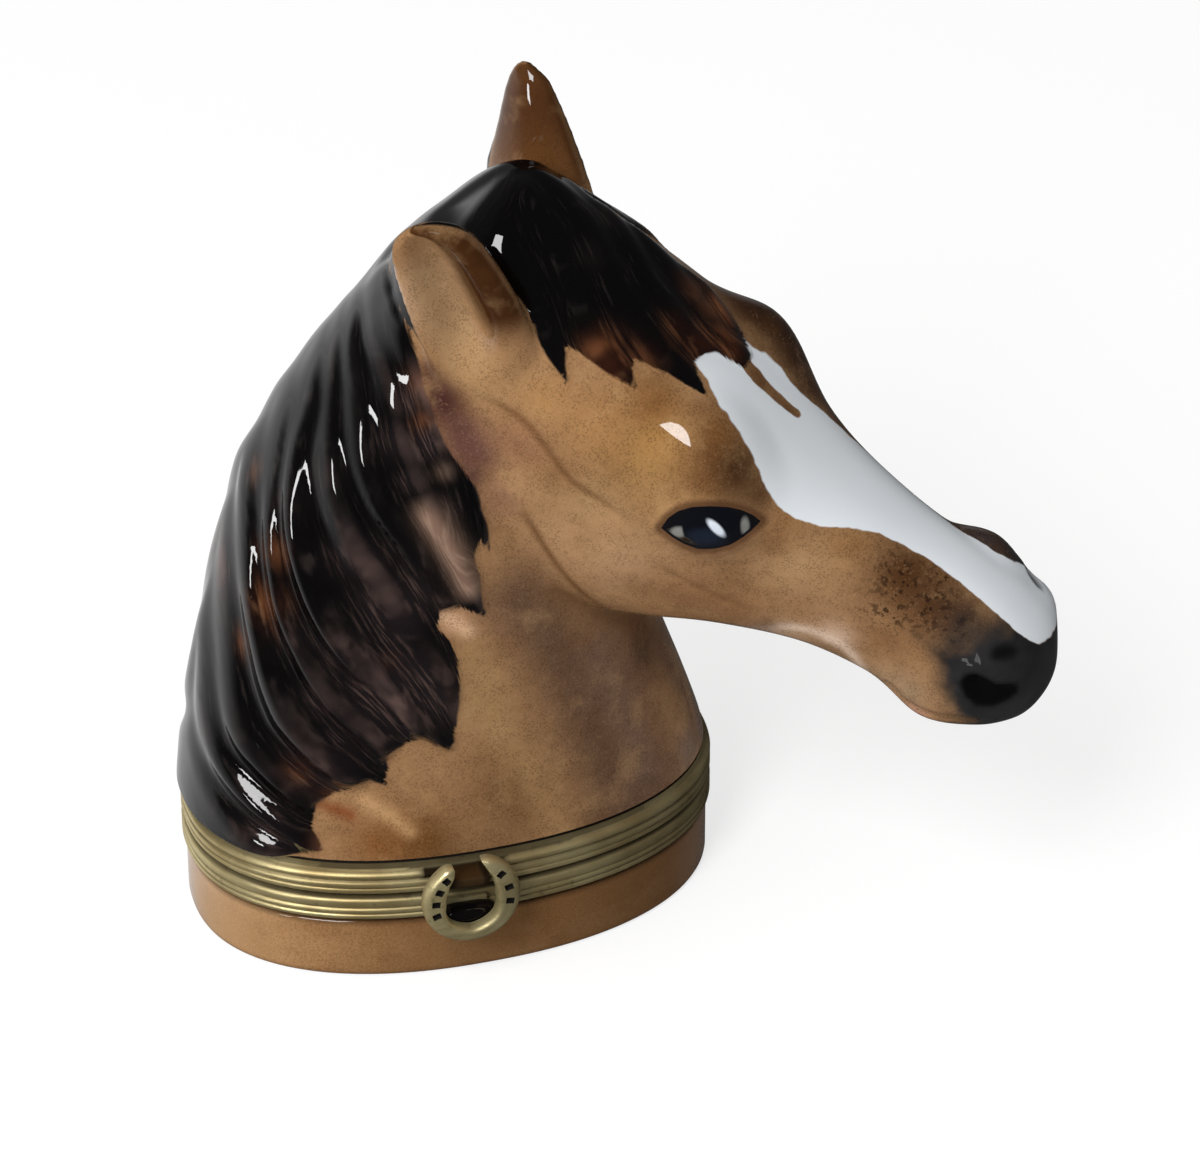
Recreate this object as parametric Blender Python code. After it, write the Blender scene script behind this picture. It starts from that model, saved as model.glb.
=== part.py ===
import math

import bmesh
import bpy
from mathutils import Matrix, Vector

# Plan shape that the dish, the bands and the foot of the neck share: an oval with slightly full corners.
OVAL_LENGTH = 0.0402
OVAL_WIDTH = 0.0266
OVAL_FULLNESS = 2.25
OVAL_STEPS = 52
PLATE_STEPS = 8

# Heights of what is stacked on the table, and the gap that meeting pieces keep.
DISH_HEIGHT = 0.0052
LOWER_BAND_HEIGHT = 0.0020
UPPER_BAND_HEIGHT = 0.0026
PARTING_GAP = 0.0003
FIT_GAP = 0.0003

# Brass bands: an upright reeded wall outside the porcelain and a flange over its rim.
BAND_WALL = 0.0006
FLANGE_THICKNESS = 0.0005
FLANGE_REACH = 0.0027
REED_RELIEF = 0.00022
UPPER_REED_COUNT = 2
LOWER_REED_COUNT = 3
CEMENT_THICKNESS = 0.0004

# Porcelain walls.
RIM_WALL = 0.0016
HEAD_WALL = 0.0026
DISH_FLOOR = 0.0018
NECK_INSET = 0.0005
DISH_INSET = 0.0003
DISH_ROUND = 0.0003
ROUND_SHARE = 0.3

# Hinge on the far long side.
HINGE_LENGTH = 0.0100
PIN_RADIUS = 0.0005
PIN_HEAD_RADIUS = 0.0010
PIN_HEAD_LENGTH = 0.0004
BARREL_WALL = 0.0005
LEAF_THICKNESS = 0.0005
LEAF_MARGIN = 0.0003
KNUCKLE_STEPS = 20
PIN_STEPS = 16

# Clasp on the near long side: a horseshoe on an arm, and a bead on a seat below it.
CLASP_X = -0.0021
ARM_WIDTH = 0.0044
ARM_HEIGHT = 0.0012
ARM_LENGTH = 0.0013
SHOE_CENTRE_HEIGHT = 0.0086
SHOE_RADIUS = 0.0031
SHOE_WIDTH = 0.0019
SHOE_HEEL_WIDTH = 0.0013
SHOE_THICKNESS = 0.0010
SHOE_HALF_SWEEP = math.radians(152.0)
SHOE_HEEL_ROUNDING = 0.6
SHOE_STEPS = 28
NAIL_HOLE_RADIUS = 0.00032
NAIL_HOLE_COUNT = 4
NAIL_HOLE_FIRST = math.radians(42.0)
NAIL_HOLE_LAST = math.radians(122.0)
NAIL_HOLE_STEPS = 8
SEAT_THICKNESS = 0.0003
SEAT_WIDTH = 0.0034
SEAT_HEIGHT = 0.0024
BEAD_WIDTH = 0.0040
BEAD_HEIGHT = 0.0030
BEAD_DEPTH = 0.0007
BEAD_CENTRE_HEIGHT = 0.0061
BEAD_STEPS = 24

# Shares of the horseshoe's width and thickness round its section, and of the bead's depth and width.
SHOE_SECTION = ((-0.5, 0.0), (-0.5, 0.6), (-0.3, 1.0), (0.3, 1.0), (0.5, 0.6), (0.5, 0.0))
BEAD_PROFILE = ((0.0, 0.92), (0.15, 1.0), (0.5, 0.93), (0.8, 0.68), (0.95, 0.38), (1.0, 0.12))

# The head's own frame: the poll is the top of the skull between the ears.
POLL_AHEAD = 0.0034
POLL_ASIDE = -0.0024
POLL_HEIGHT = 0.0591
HEAD_TURN = math.radians(-29.4)
HEAD_PITCH = math.radians(35.5)
HEAD_TILT = math.radians(7.0)

# Head sections: distance from the poll, top, bottom, half width, height of the widest place, and the
# fullness of the upper half and of the lower half.
HEAD_SECTIONS = [
    (-0.0029, -0.0083, -0.0128, 0.0022, -0.0104, 2.0, 2.0),
    (-0.0020, -0.0038, -0.0149, 0.0049, -0.0094, 2.0, 2.0),
    (0.0000, 0.0028, -0.0180, 0.0076, -0.0080, 2.1, 2.2),
    (0.0060, 0.0037, -0.0215, 0.0087, -0.0085, 2.2, 2.5),
    (0.0120, 0.0035, -0.0235, 0.0090, -0.0080, 2.4, 2.8),
    (0.0180, 0.0026, -0.0238, 0.0090, -0.0065, 2.7, 3.0),
    (0.0220, 0.0020, -0.0226, 0.0094, -0.0055, 2.8, 3.0),
    (0.0270, 0.0008, -0.0200, 0.0082, -0.0055, 2.6, 3.0),
    (0.0320, 0.0000, -0.0168, 0.0066, -0.0055, 2.4, 2.8),
    (0.0380, -0.0002, -0.0136, 0.0056, -0.0055, 2.3, 2.5),
    (0.0440, 0.0000, -0.0120, 0.0054, -0.0056, 2.3, 2.4),
    (0.0480, -0.0002, -0.0116, 0.0056, -0.0056, 2.4, 2.4),
    (0.0510, -0.0010, -0.0104, 0.0050, -0.0056, 2.3, 2.3),
    (0.0530, -0.0030, -0.0086, 0.0032, -0.0058, 2.0, 2.0),
    (0.0537, -0.0044, -0.0074, 0.0016, -0.0059, 2.0, 2.0),
]

# Neck sections over the foot: share of the way up to the poll, crest end, throat end, half width,
# sideways shift, turn in degrees.
NECK_SECTIONS = [
    (0.099, -0.0188, 0.0182, 0.0120, 0.0000, -1.0),
    (0.233, -0.0178, 0.0160, 0.0112, -0.0002, -3.0),
    (0.378, -0.0165, 0.0140, 0.0103, -0.0004, -6.0),
    (0.523, -0.0145, 0.0125, 0.0094, -0.0006, -10.0),
    (0.667, -0.0113, 0.0115, 0.0086, -0.0008, -15.0),
    (0.812, -0.0062, 0.0105, 0.0074, -0.0010, -20.0),
    (0.915, -0.0008, 0.0090, 0.0054, -0.0012, -24.0),
    (0.977, 0.0034, 0.0072, 0.0032, -0.0014, -28.0),
]

# Swellings of the skull and the lips, in the head's frame on one side: place, reach, rise.
SWELLINGS = {
    "brow": ((0.0225, 0.0068, -0.0002), (0.0070, 0.0050, 0.0050), 0.0012),
    "eye": ((0.0255, 0.0086, -0.0048), (0.0050, 0.0040, 0.0040), 0.0007),
    "cheek": ((0.0140, 0.0088, -0.0145), (0.0110, 0.0060, 0.0095), 0.0008),
    "nostril": ((0.0495, 0.0050, -0.0030), (0.0042, 0.0040, 0.0036), 0.0008),
    "chin": ((0.0475, 0.0020, -0.0112), (0.0052, 0.0060, 0.0040), 0.0008),
    "temple": ((0.0185, 0.0082, -0.0032), (0.0050, 0.0035, 0.0040), 0.0007),
}

# Ears, in the head's frame, for the near side: root, tip, where the hollow looks. The two ears are cocked
# differently, so each has its outline in its own plane, from the root up: how far along and across one edge
# lies, then the other edge.
EAR_ROOT = Vector((0.0070, -0.0075, -0.0050))
EAR_TIP = Vector((-0.0036, -0.0104, 0.0036))
EAR_LOOKS = Vector((0.1, -1.0, 0.1))
NEAR_EAR = [
    (-0.0030, -0.0030, -0.0020, 0.0030),
    (-0.0012, -0.0042, 0.0015, 0.0034),
    (0.0020, -0.0046, 0.0043, 0.0035),
    (0.0052, -0.0046, 0.0070, 0.0036),
    (0.0083, -0.0043, 0.0098, 0.0034),
    (0.0108, -0.0039, 0.0117, 0.0031),
    (0.0125, -0.0035, 0.0133, 0.0025),
    (0.0136, -0.0031, 0.0143, 0.0013),
    (0.0142, -0.0026, 0.0148, -0.0001),
    (0.0145, -0.0020, 0.0148, -0.0012),
]
FAR_EAR = [
    (-0.0030, 0.0050, -0.0030, -0.0036),
    (0.0010, 0.0056, 0.0000, -0.0036),
    (0.0057, 0.0050, 0.0041, -0.0033),
    (0.0088, 0.0035, 0.0080, -0.0028),
    (0.0107, 0.0026, 0.0101, -0.0025),
    (0.0120, 0.0020, 0.0116, -0.0022),
    (0.0131, 0.0014, 0.0128, -0.0019),
    (0.0139, 0.0008, 0.0135, -0.0014),
    (0.0144, 0.0001, 0.0142, -0.0008),
]

# How far an ear domes behind its plane and in front of it, how deep and where across it is hollowed, the
# wall that the hollow leaves, the half width from which the ear is at its full depth, and the shares of its
# length where the hollow runs in and out.
EAR_BACK = 0.0023
EAR_FRONT = 0.0013
EAR_HOLLOW = 0.0025
EAR_HOLLOW_PLACE = -0.15
EAR_HOLLOW_SPREAD = 0.5
EAR_WALL = 0.0011
EAR_FULL_HALF_WIDTH = 0.0036
EAR_HOLLOW_STARTS = (0.10, 0.30)
EAR_HOLLOW_ENDS = (0.82, 1.0)
EAR_ROW_STEPS = 2
EAR_STEPS = 32

# Locks of the mane on the near side, from the crest to the tip: share of the way up from the neck's foot to
# the poll, turn round the neck in degrees.
MANE_LOCKS = [
    [
        (0.954, 186), (0.944, 215), (0.905, 240), (0.843, 256), (0.760, 268),
        (0.678, 275), (0.605, 280), (0.508, 282),
    ],
    [
        (0.882, 186), (0.876, 209), (0.835, 241), (0.787, 255), (0.723, 266),
        (0.661, 272), (0.595, 275), (0.533, 276),
    ],
    [
        (0.849, 186), (0.843, 205), (0.795, 234), (0.750, 247), (0.700, 256),
        (0.645, 265), (0.570, 271), (0.481, 276), (0.401, 279),
    ],
    [
        (0.813, 186), (0.806, 199), (0.762, 223), (0.688, 239), (0.595, 253),
        (0.535, 263), (0.459, 269), (0.368, 272), (0.306, 273),
    ],
    [
        (0.781, 186), (0.775, 198), (0.709, 221), (0.603, 237), (0.552, 246),
        (0.483, 255), (0.399, 263), (0.310, 268), (0.223, 269),
    ],
    [
        (0.739, 186), (0.711, 206), (0.643, 212), (0.572, 218), (0.448, 232),
        (0.364, 243), (0.300, 254), (0.182, 266),
    ],
    [
        (0.668, 186), (0.649, 197), (0.595, 207), (0.434, 220), (0.362, 229),
        (0.287, 239), (0.223, 249), (0.159, 257),
    ],
    [(0.558, 186), (0.514, 200), (0.370, 214), (0.287, 221), (0.221, 230), (0.165, 240), (0.114, 250)],
    [(0.434, 186), (0.411, 189), (0.347, 197), (0.196, 206), (0.147, 217), (0.107, 228), (0.068, 241)],
    [(0.228, 186), (0.192, 189), (0.134, 198), (0.089, 211), (0.045, 226), (0.014, 234)],
    [(0.080, 186), (0.068, 190), (0.039, 203), (0.019, 214), (0.012, 226)],
]
CREST_LOCK = [(0.895, 182), (0.812, 180), (0.647, 179), (0.440, 178), (0.233, 178), (0.027, 178)]

# Locks of the forelock, from the poll to the tip: distance from the poll, turn round the head in degrees.
FORELOCKS = [
    [
        (-0.0005, 94), (0.0012, 114), (0.0030, 123), (0.0052, 131), (0.0069, 137),
        (0.0089, 145), (0.0115, 153),
    ],
    [(0.0002, 88), (0.0020, 99), (0.0047, 108), (0.0072, 119), (0.0095, 128), (0.0115, 134), (0.0142, 138)],
    [(0.0011, 75), (0.0039, 82), (0.0077, 97), (0.0115, 109), (0.0143, 114), (0.0170, 115), (0.0194, 114)],
    [(0.0025, 60), (0.0062, 66), (0.0103, 88), (0.0144, 95), (0.0171, 97), (0.0189, 95)],
    [
        (0.0038, 56), (0.0068, 60), (0.0108, 75), (0.0152, 84), (0.0184, 88),
        (0.0211, 89), (0.0237, 90), (0.0263, 88),
    ],
    [(0.0042, 50), (0.0084, 52), (0.0117, 55), (0.0144, 66), (0.0167, 75), (0.0186, 82)],
    [(0.0010, 62), (0.0040, 52), (0.0070, 44), (0.0100, 40), (0.0125, 38)],
]
LOCK_HALF_WIDTH = 0.0017
LOCK_HALF_THICKNESS = 0.0016
FORELOCK_HALF_THICKNESS = 0.0009
LOCK_SINK = 0.0004
LOCK_ROOT = 0.12
LOCK_TIP = 0.98
LOCK_FULLNESS = 0.6
LOCK_STEPS = 10
ROUTE_STEPS = 4

# How the head's forms are joined: rings of the loft, cells of the joining skin, its smoothing and thinning.
RING_STEPS = 40
SECTION_STEPS = 3
SKIN_CELL = 0.0005
SKIN_PASSES = 4
SKIN_SMOOTHING = 0.5
SKIN_SHARE = 0.13

LID_PIECES = ("lid_head", "upper_cement", "upper_band", "hinge_leaf_upper", "clasp_arm", "horseshoe")

LOWER_BAND_FOOT = DISH_HEIGHT + FIT_GAP
LOWER_BAND_TOP = LOWER_BAND_FOOT + LOWER_BAND_HEIGHT
UPPER_BAND_FOOT = LOWER_BAND_TOP + PARTING_GAP
UPPER_BAND_TOP = UPPER_BAND_FOOT + UPPER_BAND_HEIGHT
NECK_FOOT = UPPER_BAND_TOP + FIT_GAP
CEMENT_INSET = BAND_WALL + FIT_GAP
RIM_INSET = CEMENT_INSET + CEMENT_THICKNESS + FIT_GAP
CAVITY_INSET = RIM_INSET + RIM_WALL
BORE_RADIUS = PIN_RADIUS + FIT_GAP
BARREL_RADIUS = BORE_RADIUS + BARREL_WALL
HINGE_Y = OVAL_WIDTH / 2 + FIT_GAP + BARREL_RADIUS
HINGE_HEIGHT = LOWER_BAND_TOP + PARTING_GAP / 2
KNUCKLE_LENGTH = (HINGE_LENGTH - 2 * FIT_GAP) / 3


def superellipse(turn, half_x, half_y, fullness):
    c = math.cos(turn)
    s = math.sin(turn)
    power = 2.0 / fullness
    return (
        half_x * math.copysign(abs(c) ** power, c),
        half_y * math.copysign(abs(s) ** power, s),
    )


def between(rows, count):
    """Rows of a table with count smooth steps from each row to the next."""
    last = len(rows) - 1
    made = []
    for index in range(last):
        before = rows[max(index - 1, 0)]
        start = rows[index]
        end = rows[index + 1]
        after = rows[min(index + 2, last)]
        for part in range(count):
            t = part / count
            row = []
            for a, b, c, d in zip(before, start, end, after):
                bend = (2 * a - 5 * b + 4 * c - d) * t * t + (3 * b - a - 3 * c + d) * t ** 3
                row.append(0.5 * (2 * b + (c - a) * t + bend))
            made.append(tuple(row))
    made.append(tuple(rows[last]))
    return made


def row_at(rows, value):
    """The table's row at a first value, straight between the two rows round it."""
    for start, end in zip(rows, rows[1:]):
        if value <= end[0]:
            break
    t = (value - start[0]) / (end[0] - start[0])
    return tuple(a + (b - a) * t for a, b in zip(start, end))


def oval_point(turn, inset, height):
    """A point at a distance inside the outer oval, measured square to it."""
    half_x = OVAL_LENGTH / 2
    half_y = OVAL_WIDTH / 2
    x, y = superellipse(turn, half_x, half_y, OVAL_FULLNESS)
    slope_x = math.copysign(abs(x / half_x) ** (OVAL_FULLNESS - 1) / half_x, x)
    slope_y = math.copysign(abs(y / half_y) ** (OVAL_FULLNESS - 1) / half_y, y)
    normal = Vector((slope_x, slope_y, 0.0)).normalized()
    return Vector((x, y, height)) - normal * inset


def oval_ring(inset, height, steps=OVAL_STEPS):
    return [oval_point(2.0 * math.pi * step / steps, inset, height) for step in range(steps)]


def head_matrix():
    """Carries (along the face, to the horse's left, out of the forehead) to the part's frame."""
    ahead = Vector((math.cos(HEAD_TURN), math.sin(HEAD_TURN), 0.0))
    left = Vector((-math.sin(HEAD_TURN), math.cos(HEAD_TURN), 0.0))
    up = Vector((0.0, 0.0, 1.0))
    face = ahead * math.cos(HEAD_PITCH) - up * math.sin(HEAD_PITCH)
    brow = ahead * math.sin(HEAD_PITCH) + up * math.cos(HEAD_PITCH)
    side = left * math.cos(HEAD_TILT) + brow * math.sin(HEAD_TILT)
    brow = brow * math.cos(HEAD_TILT) - left * math.sin(HEAD_TILT)
    turn = Matrix((face, side, brow)).transposed().to_4x4()
    return Matrix.Translation((POLL_AHEAD, POLL_ASIDE, POLL_HEIGHT)) @ turn


def swollen(point, middle):
    """Pushes a point of the skull outward where a swelling reaches it."""
    out = Vector((0.0, point.y, point.z - middle)).normalized()
    push = 0.0
    for place, reach, rise in SWELLINGS.values():
        near = [(value - at) / far for value, at, far in zip((point.x, abs(point.y), point.z), place, reach)]
        left = 1.0 - sum(share * share for share in near)
        if left > 0.0:
            push += rise * left * left
    return point + out * push


def head_point(section, turn, lift=0.0):
    along, top, bottom, half, middle, upper, lower = section
    fullness = upper if math.sin(turn) > 0.0 else lower
    side, rise = superellipse(turn, half, 1.0, fullness)
    reach = top - middle if rise > 0.0 else middle - bottom
    point = swollen(Vector((along, side, middle + reach * rise)), middle)
    centre = Vector((along, 0.0, middle))
    return head_matrix() @ (point + (point - centre).normalized() * lift)


def neck_point(section, turn, lift=0.0):
    height, crest, throat, half, shift, twist = section
    spin = Matrix.Rotation(math.radians(twist), 4, "Z")
    x, y = superellipse(turn, (throat - crest) / 2.0, half, OVAL_FULLNESS)
    out = Vector((x, y, 0.0))
    out = out + out.normalized() * lift
    return spin @ out + Vector(((crest + throat) / 2.0, shift, height))


def raised(rows):
    """Rows that start with a share of the way from the neck's foot to the poll, with the height instead."""
    return [(NECK_FOOT + row[0] * (POLL_HEIGHT - NECK_FOOT), *row[1:]) for row in rows]


def neck_sections():
    """The neck's sections with its straight foot, which follows the oval, below them."""
    crest = NECK_INSET - OVAL_LENGTH / 2
    half = OVAL_WIDTH / 2 - NECK_INSET
    foot = [(height, crest, -crest, half, 0.0, 0.0) for height in (UPPER_BAND_FOOT, NECK_FOOT)]
    return foot + raised(NECK_SECTIONS)


def ring_of(place, section, lift=0.0):
    return [place(section, 2.0 * math.pi * step / RING_STEPS, lift) for step in range(RING_STEPS)]


def walls(bm, rings):
    """Lays faces through rings of equal count and returns the edges of the first ring and the last."""
    loop = bmesh.ops.create_circle(bm, segments=len(rings[0]), radius=1.0, cap_ends=False)["verts"]
    for vert, point in zip(loop, rings[0]):
        vert.co = point
    first = list({edge for vert in loop for edge in vert.link_edges})
    edges = first
    for ring in rings[1:]:
        made = bmesh.ops.extrude_edge_only(bm, edges=edges)["geom"]
        verts = [v for v in made if isinstance(v, bmesh.types.BMVert)]
        edges = [e for e in made if isinstance(e, bmesh.types.BMEdge)]
        for vert, point in zip(verts, ring):
            vert.co = point
    return first, edges


def loft(rings):
    """One closed body through the rings, with flat ends."""
    bm = bmesh.new()
    walls(bm, rings)
    bmesh.ops.holes_fill(bm, edges=bm.edges, sides=0)
    bmesh.ops.triangulate(bm, faces=[f for f in bm.faces if len(f.verts) > 4])
    bmesh.ops.recalc_face_normals(bm, faces=bm.faces)
    return bm


def oval_hoop(profile):
    """One closed body whose section, given as (inset, height) corners, follows the oval all the way round."""
    bm = bmesh.new()
    first, last = walls(bm, [oval_ring(inset, height) for inset, height in profile])
    bmesh.ops.bridge_loops(bm, edges=first + last)
    bmesh.ops.recalc_face_normals(bm, faces=bm.faces)
    return bm


def curved_plate(x_from, x_to, foot, top, outset, thickness, side):
    """A plate that follows the outer oval on the far long side, side 1, or on the near one, side -1."""
    bm = bmesh.new()
    rings = []
    for step in range(PLATE_STEPS + 1):
        x = x_from + (x_to - x_from) * step / PLATE_STEPS
        share = abs(x) / (OVAL_LENGTH / 2)
        turn = math.acos(math.copysign(share ** (OVAL_FULLNESS / 2), x)) * side
        inner = oval_point(turn, -outset, foot)
        outer = oval_point(turn, -outset - thickness, foot)
        rise = Vector((0.0, 0.0, top - foot))
        rings.append([inner, outer, outer + rise, inner + rise])
    walls(bm, rings)
    bmesh.ops.holes_fill(bm, edges=bm.edges, sides=0)
    bmesh.ops.recalc_face_normals(bm, faces=bm.faces)
    return bm


def rod(profile, centre, axis, steps):
    """A turned body: (distance along the axis, radius) steps about a line through the centre."""
    turn = Vector((0.0, 0.0, 1.0)).rotation_difference(Vector(axis)).to_matrix().to_4x4()
    place = Matrix.Translation(centre) @ turn
    rings = []
    for along, radius in profile:
        ring = []
        for step in range(steps):
            angle = 2.0 * math.pi * (step + 0.5) / steps
            ring.append(place @ Vector((radius * math.cos(angle), radius * math.sin(angle), along)))
        rings.append(ring)
    return loft(rings)


def eased(value, low, high):
    share = min(max((value - low) / (high - low), 0.0), 1.0)
    return share * share * (3.0 - 2.0 * share)


def ear_body(hand, outline):
    """A leaf-shaped ear between the two edges of its outline, domed behind and hollowed in front."""
    flip = Vector((1.0, -hand, 1.0))
    root = EAR_ROOT * flip
    tip = EAR_TIP * flip
    along = (tip - root).normalized()
    out = EAR_LOOKS * flip
    out = (out - along * out.dot(along)).normalized()
    across = along.cross(out)
    rows = between(outline, EAR_ROW_STEPS)
    rings = []
    for index, (up, aside, other_up, other_aside) in enumerate(rows):
        share = index / (len(rows) - 1)
        edge = along * up + across * aside
        other = along * other_up + across * other_aside
        swell = min(1.0, (other - edge).length / 2 / EAR_FULL_HALF_WIDTH)
        hollow = EAR_HOLLOW * eased(share, *EAR_HOLLOW_STARTS) * (1.0 - eased(share, *EAR_HOLLOW_ENDS))
        hollow = min(hollow, max(0.0, (EAR_BACK + EAR_FRONT) * swell - EAR_WALL))
        ring = []
        for step in range(EAR_STEPS):
            turn = 2.0 * math.pi * step / EAR_STEPS
            place = math.cos(turn)
            deep = math.sin(turn)
            if deep > 0.0:
                bowl = math.exp(-((place - EAR_HOLLOW_PLACE) / EAR_HOLLOW_SPREAD) ** 2)
                deep = EAR_FRONT * swell * deep - hollow * bowl * deep
            else:
                deep = EAR_BACK * swell * deep
            level = (edge + other) / 2 + (other - edge) / 2 * place
            ring.append(head_matrix() @ (root + level + out * deep))
        rings.append(ring)
    return loft(rings)


def lock_body(place, sections, route, mirror, half_thickness):
    """A lock of hair: a flattened strand laid on the surface, full in the middle and pointed at its tip."""
    centres = []
    outs = []
    for value, degrees in between(route, ROUTE_STEPS):
        turn = math.radians(mirror - degrees if mirror else degrees)
        section = row_at(sections, value)
        surface = place(section, turn)
        out = (place(section, turn, 0.001) - surface).normalized()
        centres.append(surface - out * LOCK_SINK)
        outs.append(out)
    rings = []
    last = len(centres) - 1
    for index, (centre, out) in enumerate(zip(centres, outs)):
        along = (centres[min(index + 1, last)] - centres[max(index - 1, 0)]).normalized()
        across = along.cross(out).normalized()
        share = index / last
        size = math.sin(math.pi * (LOCK_ROOT + share * (LOCK_TIP - LOCK_ROOT))) ** LOCK_FULLNESS
        ring = []
        for step in range(LOCK_STEPS):
            angle = 2.0 * math.pi * step / LOCK_STEPS
            wide = across * (LOCK_HALF_WIDTH * size * math.cos(angle))
            ring.append(centre + wide + out * (half_thickness * size * math.sin(angle)))
        rings.append(ring)
    return loft(rings)


def joined(bodies):
    """One mesh that holds all the closed bodies, which may run through each other."""
    bm = bmesh.new()
    for body in bodies:
        mesh = bpy.data.meshes.new("body")
        body.to_mesh(mesh)
        body.free()
        bm.from_mesh(mesh)
        bpy.data.meshes.remove(mesh)
    return bm


def new_object(name, bm):
    mesh = bpy.data.meshes.new(name)
    bm.to_mesh(mesh)
    bm.free()
    obj = bpy.data.objects.new(name, mesh)
    bpy.context.scene.collection.objects.link(obj)
    return obj


def new_cutter(name, bm):
    obj = new_object(name, bm)
    obj.hide_render = True
    obj.display_type = "WIRE"
    return obj


def combine(obj, other, operation):
    boolean = obj.modifiers.new(other.name, "BOOLEAN")
    boolean.operation = operation
    boolean.solver = "EXACT"
    boolean.object = other


def dress(obj, name, colour, roughness, metallic):
    material = bpy.data.materials.get(name)
    if material is None:
        material = bpy.data.materials.new(name)
        material.use_nodes = True
        shader = material.node_tree.nodes["Principled BSDF"]
        shader.inputs["Base Color"].default_value = (*colour, 1.0)
        shader.inputs["Roughness"].default_value = roughness
        shader.inputs["Metallic"].default_value = metallic
    obj.data.materials.append(material)


def glaze(obj):
    dress(obj, "glazed porcelain", (0.32, 0.17, 0.07), 0.15, 0.0)


def brass(obj):
    dress(obj, "antique brass", (0.36, 0.27, 0.12), 0.35, 1.0)


def make_dish():
    outside = [
        (DISH_INSET + DISH_ROUND, 0.0),
        (DISH_INSET + ROUND_SHARE * DISH_ROUND, ROUND_SHARE * DISH_ROUND),
        (DISH_INSET, DISH_ROUND),
        (DISH_INSET, DISH_HEIGHT),
        (RIM_INSET, DISH_HEIGHT),
    ]
    rim_top = LOWER_BAND_TOP - FLANGE_THICKNESS - FIT_GAP
    inside = [
        (RIM_INSET, rim_top),
        (CAVITY_INSET, rim_top),
        (CAVITY_INSET, DISH_FLOOR + DISH_ROUND),
        (CAVITY_INSET + ROUND_SHARE * DISH_ROUND, DISH_FLOOR + ROUND_SHARE * DISH_ROUND),
        (CAVITY_INSET + DISH_ROUND, DISH_FLOOR),
    ]
    dish = new_object("base_dish", loft([oval_ring(inset, height) for inset, height in outside + inside]))
    glaze(dish)


def reeds(foot, top, count):
    """The band's outer face from its foot up: rounded reeds with a groove between each two."""
    corners = []
    step = (top - foot) / count
    for index in range(count):
        for share in (0.0, 0.25, 0.75):
            inset = REED_RELIEF if share == 0.0 else 0.0
            corners.append((inset, foot + step * (index + share)))
    corners.append((REED_RELIEF, top))
    return corners


def make_bands():
    flange_underside = LOWER_BAND_TOP - FLANGE_THICKNESS
    flange_upside = UPPER_BAND_FOOT + FLANGE_THICKNESS
    lower = reeds(LOWER_BAND_FOOT, LOWER_BAND_TOP, LOWER_REED_COUNT) + [
        (FLANGE_REACH, LOWER_BAND_TOP),
        (FLANGE_REACH, flange_underside),
        (BAND_WALL, flange_underside),
        (BAND_WALL, LOWER_BAND_FOOT),
    ]
    upper = reeds(UPPER_BAND_FOOT, UPPER_BAND_TOP, UPPER_REED_COUNT) + [
        (BAND_WALL, UPPER_BAND_TOP),
        (BAND_WALL, flange_upside),
        (FLANGE_REACH, flange_upside),
        (FLANGE_REACH, UPPER_BAND_FOOT),
    ]
    brass(new_object("lower_band", oval_hoop(lower)))
    brass(new_object("upper_band", oval_hoop(upper)))
    beds = {
        "lower_cement": (LOWER_BAND_FOOT, flange_underside - FIT_GAP),
        "upper_cement": (flange_upside + FIT_GAP, UPPER_BAND_TOP),
    }
    for name, (foot, top) in beds.items():
        inner = CEMENT_INSET + CEMENT_THICKNESS
        corners = [(CEMENT_INSET, foot), (CEMENT_INSET, top), (inner, top), (inner, foot)]
        bed = new_object(name, oval_hoop(corners))
        dress(bed, "dark cement", (0.03, 0.025, 0.02), 0.8, 0.0)


def make_head():
    bodies = [loft([ring_of(neck_point, s) for s in between(neck_sections(), SECTION_STEPS)])]
    bodies.append(loft([ring_of(head_point, s) for s in between(HEAD_SECTIONS, SECTION_STEPS)]))
    bodies.append(ear_body(-1.0, NEAR_EAR))
    bodies.append(ear_body(1.0, FAR_EAR))
    neck = neck_sections()
    bodies.append(lock_body(neck_point, neck, raised(CREST_LOCK), 0, LOCK_HALF_THICKNESS))
    for mirror in (0, 360):
        for route in MANE_LOCKS:
            bodies.append(lock_body(neck_point, neck, raised(route), mirror, LOCK_HALF_THICKNESS))
    for route in FORELOCKS:
        bodies.append(lock_body(head_point, HEAD_SECTIONS, route, 0, FORELOCK_HALF_THICKNESS))
    head = new_object("lid_head", joined(bodies))
    glaze(head)
    skin = head.modifiers.new("Skin", "REMESH")
    skin.mode = "VOXEL"
    skin.voxel_size = SKIN_CELL
    soften = head.modifiers.new("Soften", "SMOOTH")
    soften.iterations = SKIN_PASSES
    soften.factor = SKIN_SMOOTHING
    thin = head.modifiers.new("Fewer faces", "DECIMATE")
    thin.ratio = SKIN_SHARE
    combine(head, below_neck(), "DIFFERENCE")
    combine(head, neck_rim(), "UNION")
    combine(head, head_hollow(), "DIFFERENCE")


def below_neck():
    bm = bmesh.new()
    bmesh.ops.create_cube(bm, size=1.0)
    size = Matrix.Diagonal((2 * OVAL_LENGTH, 2 * OVAL_LENGTH, NECK_FOOT, 1.0))
    bmesh.ops.transform(bm, matrix=Matrix.Translation((0.0, 0.0, NECK_FOOT / 2)) @ size, verts=bm.verts)
    return new_cutter("below_neck", bm)


def neck_rim():
    foot = UPPER_BAND_FOOT + FLANGE_THICKNESS + FIT_GAP
    top = NECK_FOOT + RIM_WALL
    return new_cutter("neck_rim", loft([oval_ring(RIM_INSET, height) for height in (foot, top)]))


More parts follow.
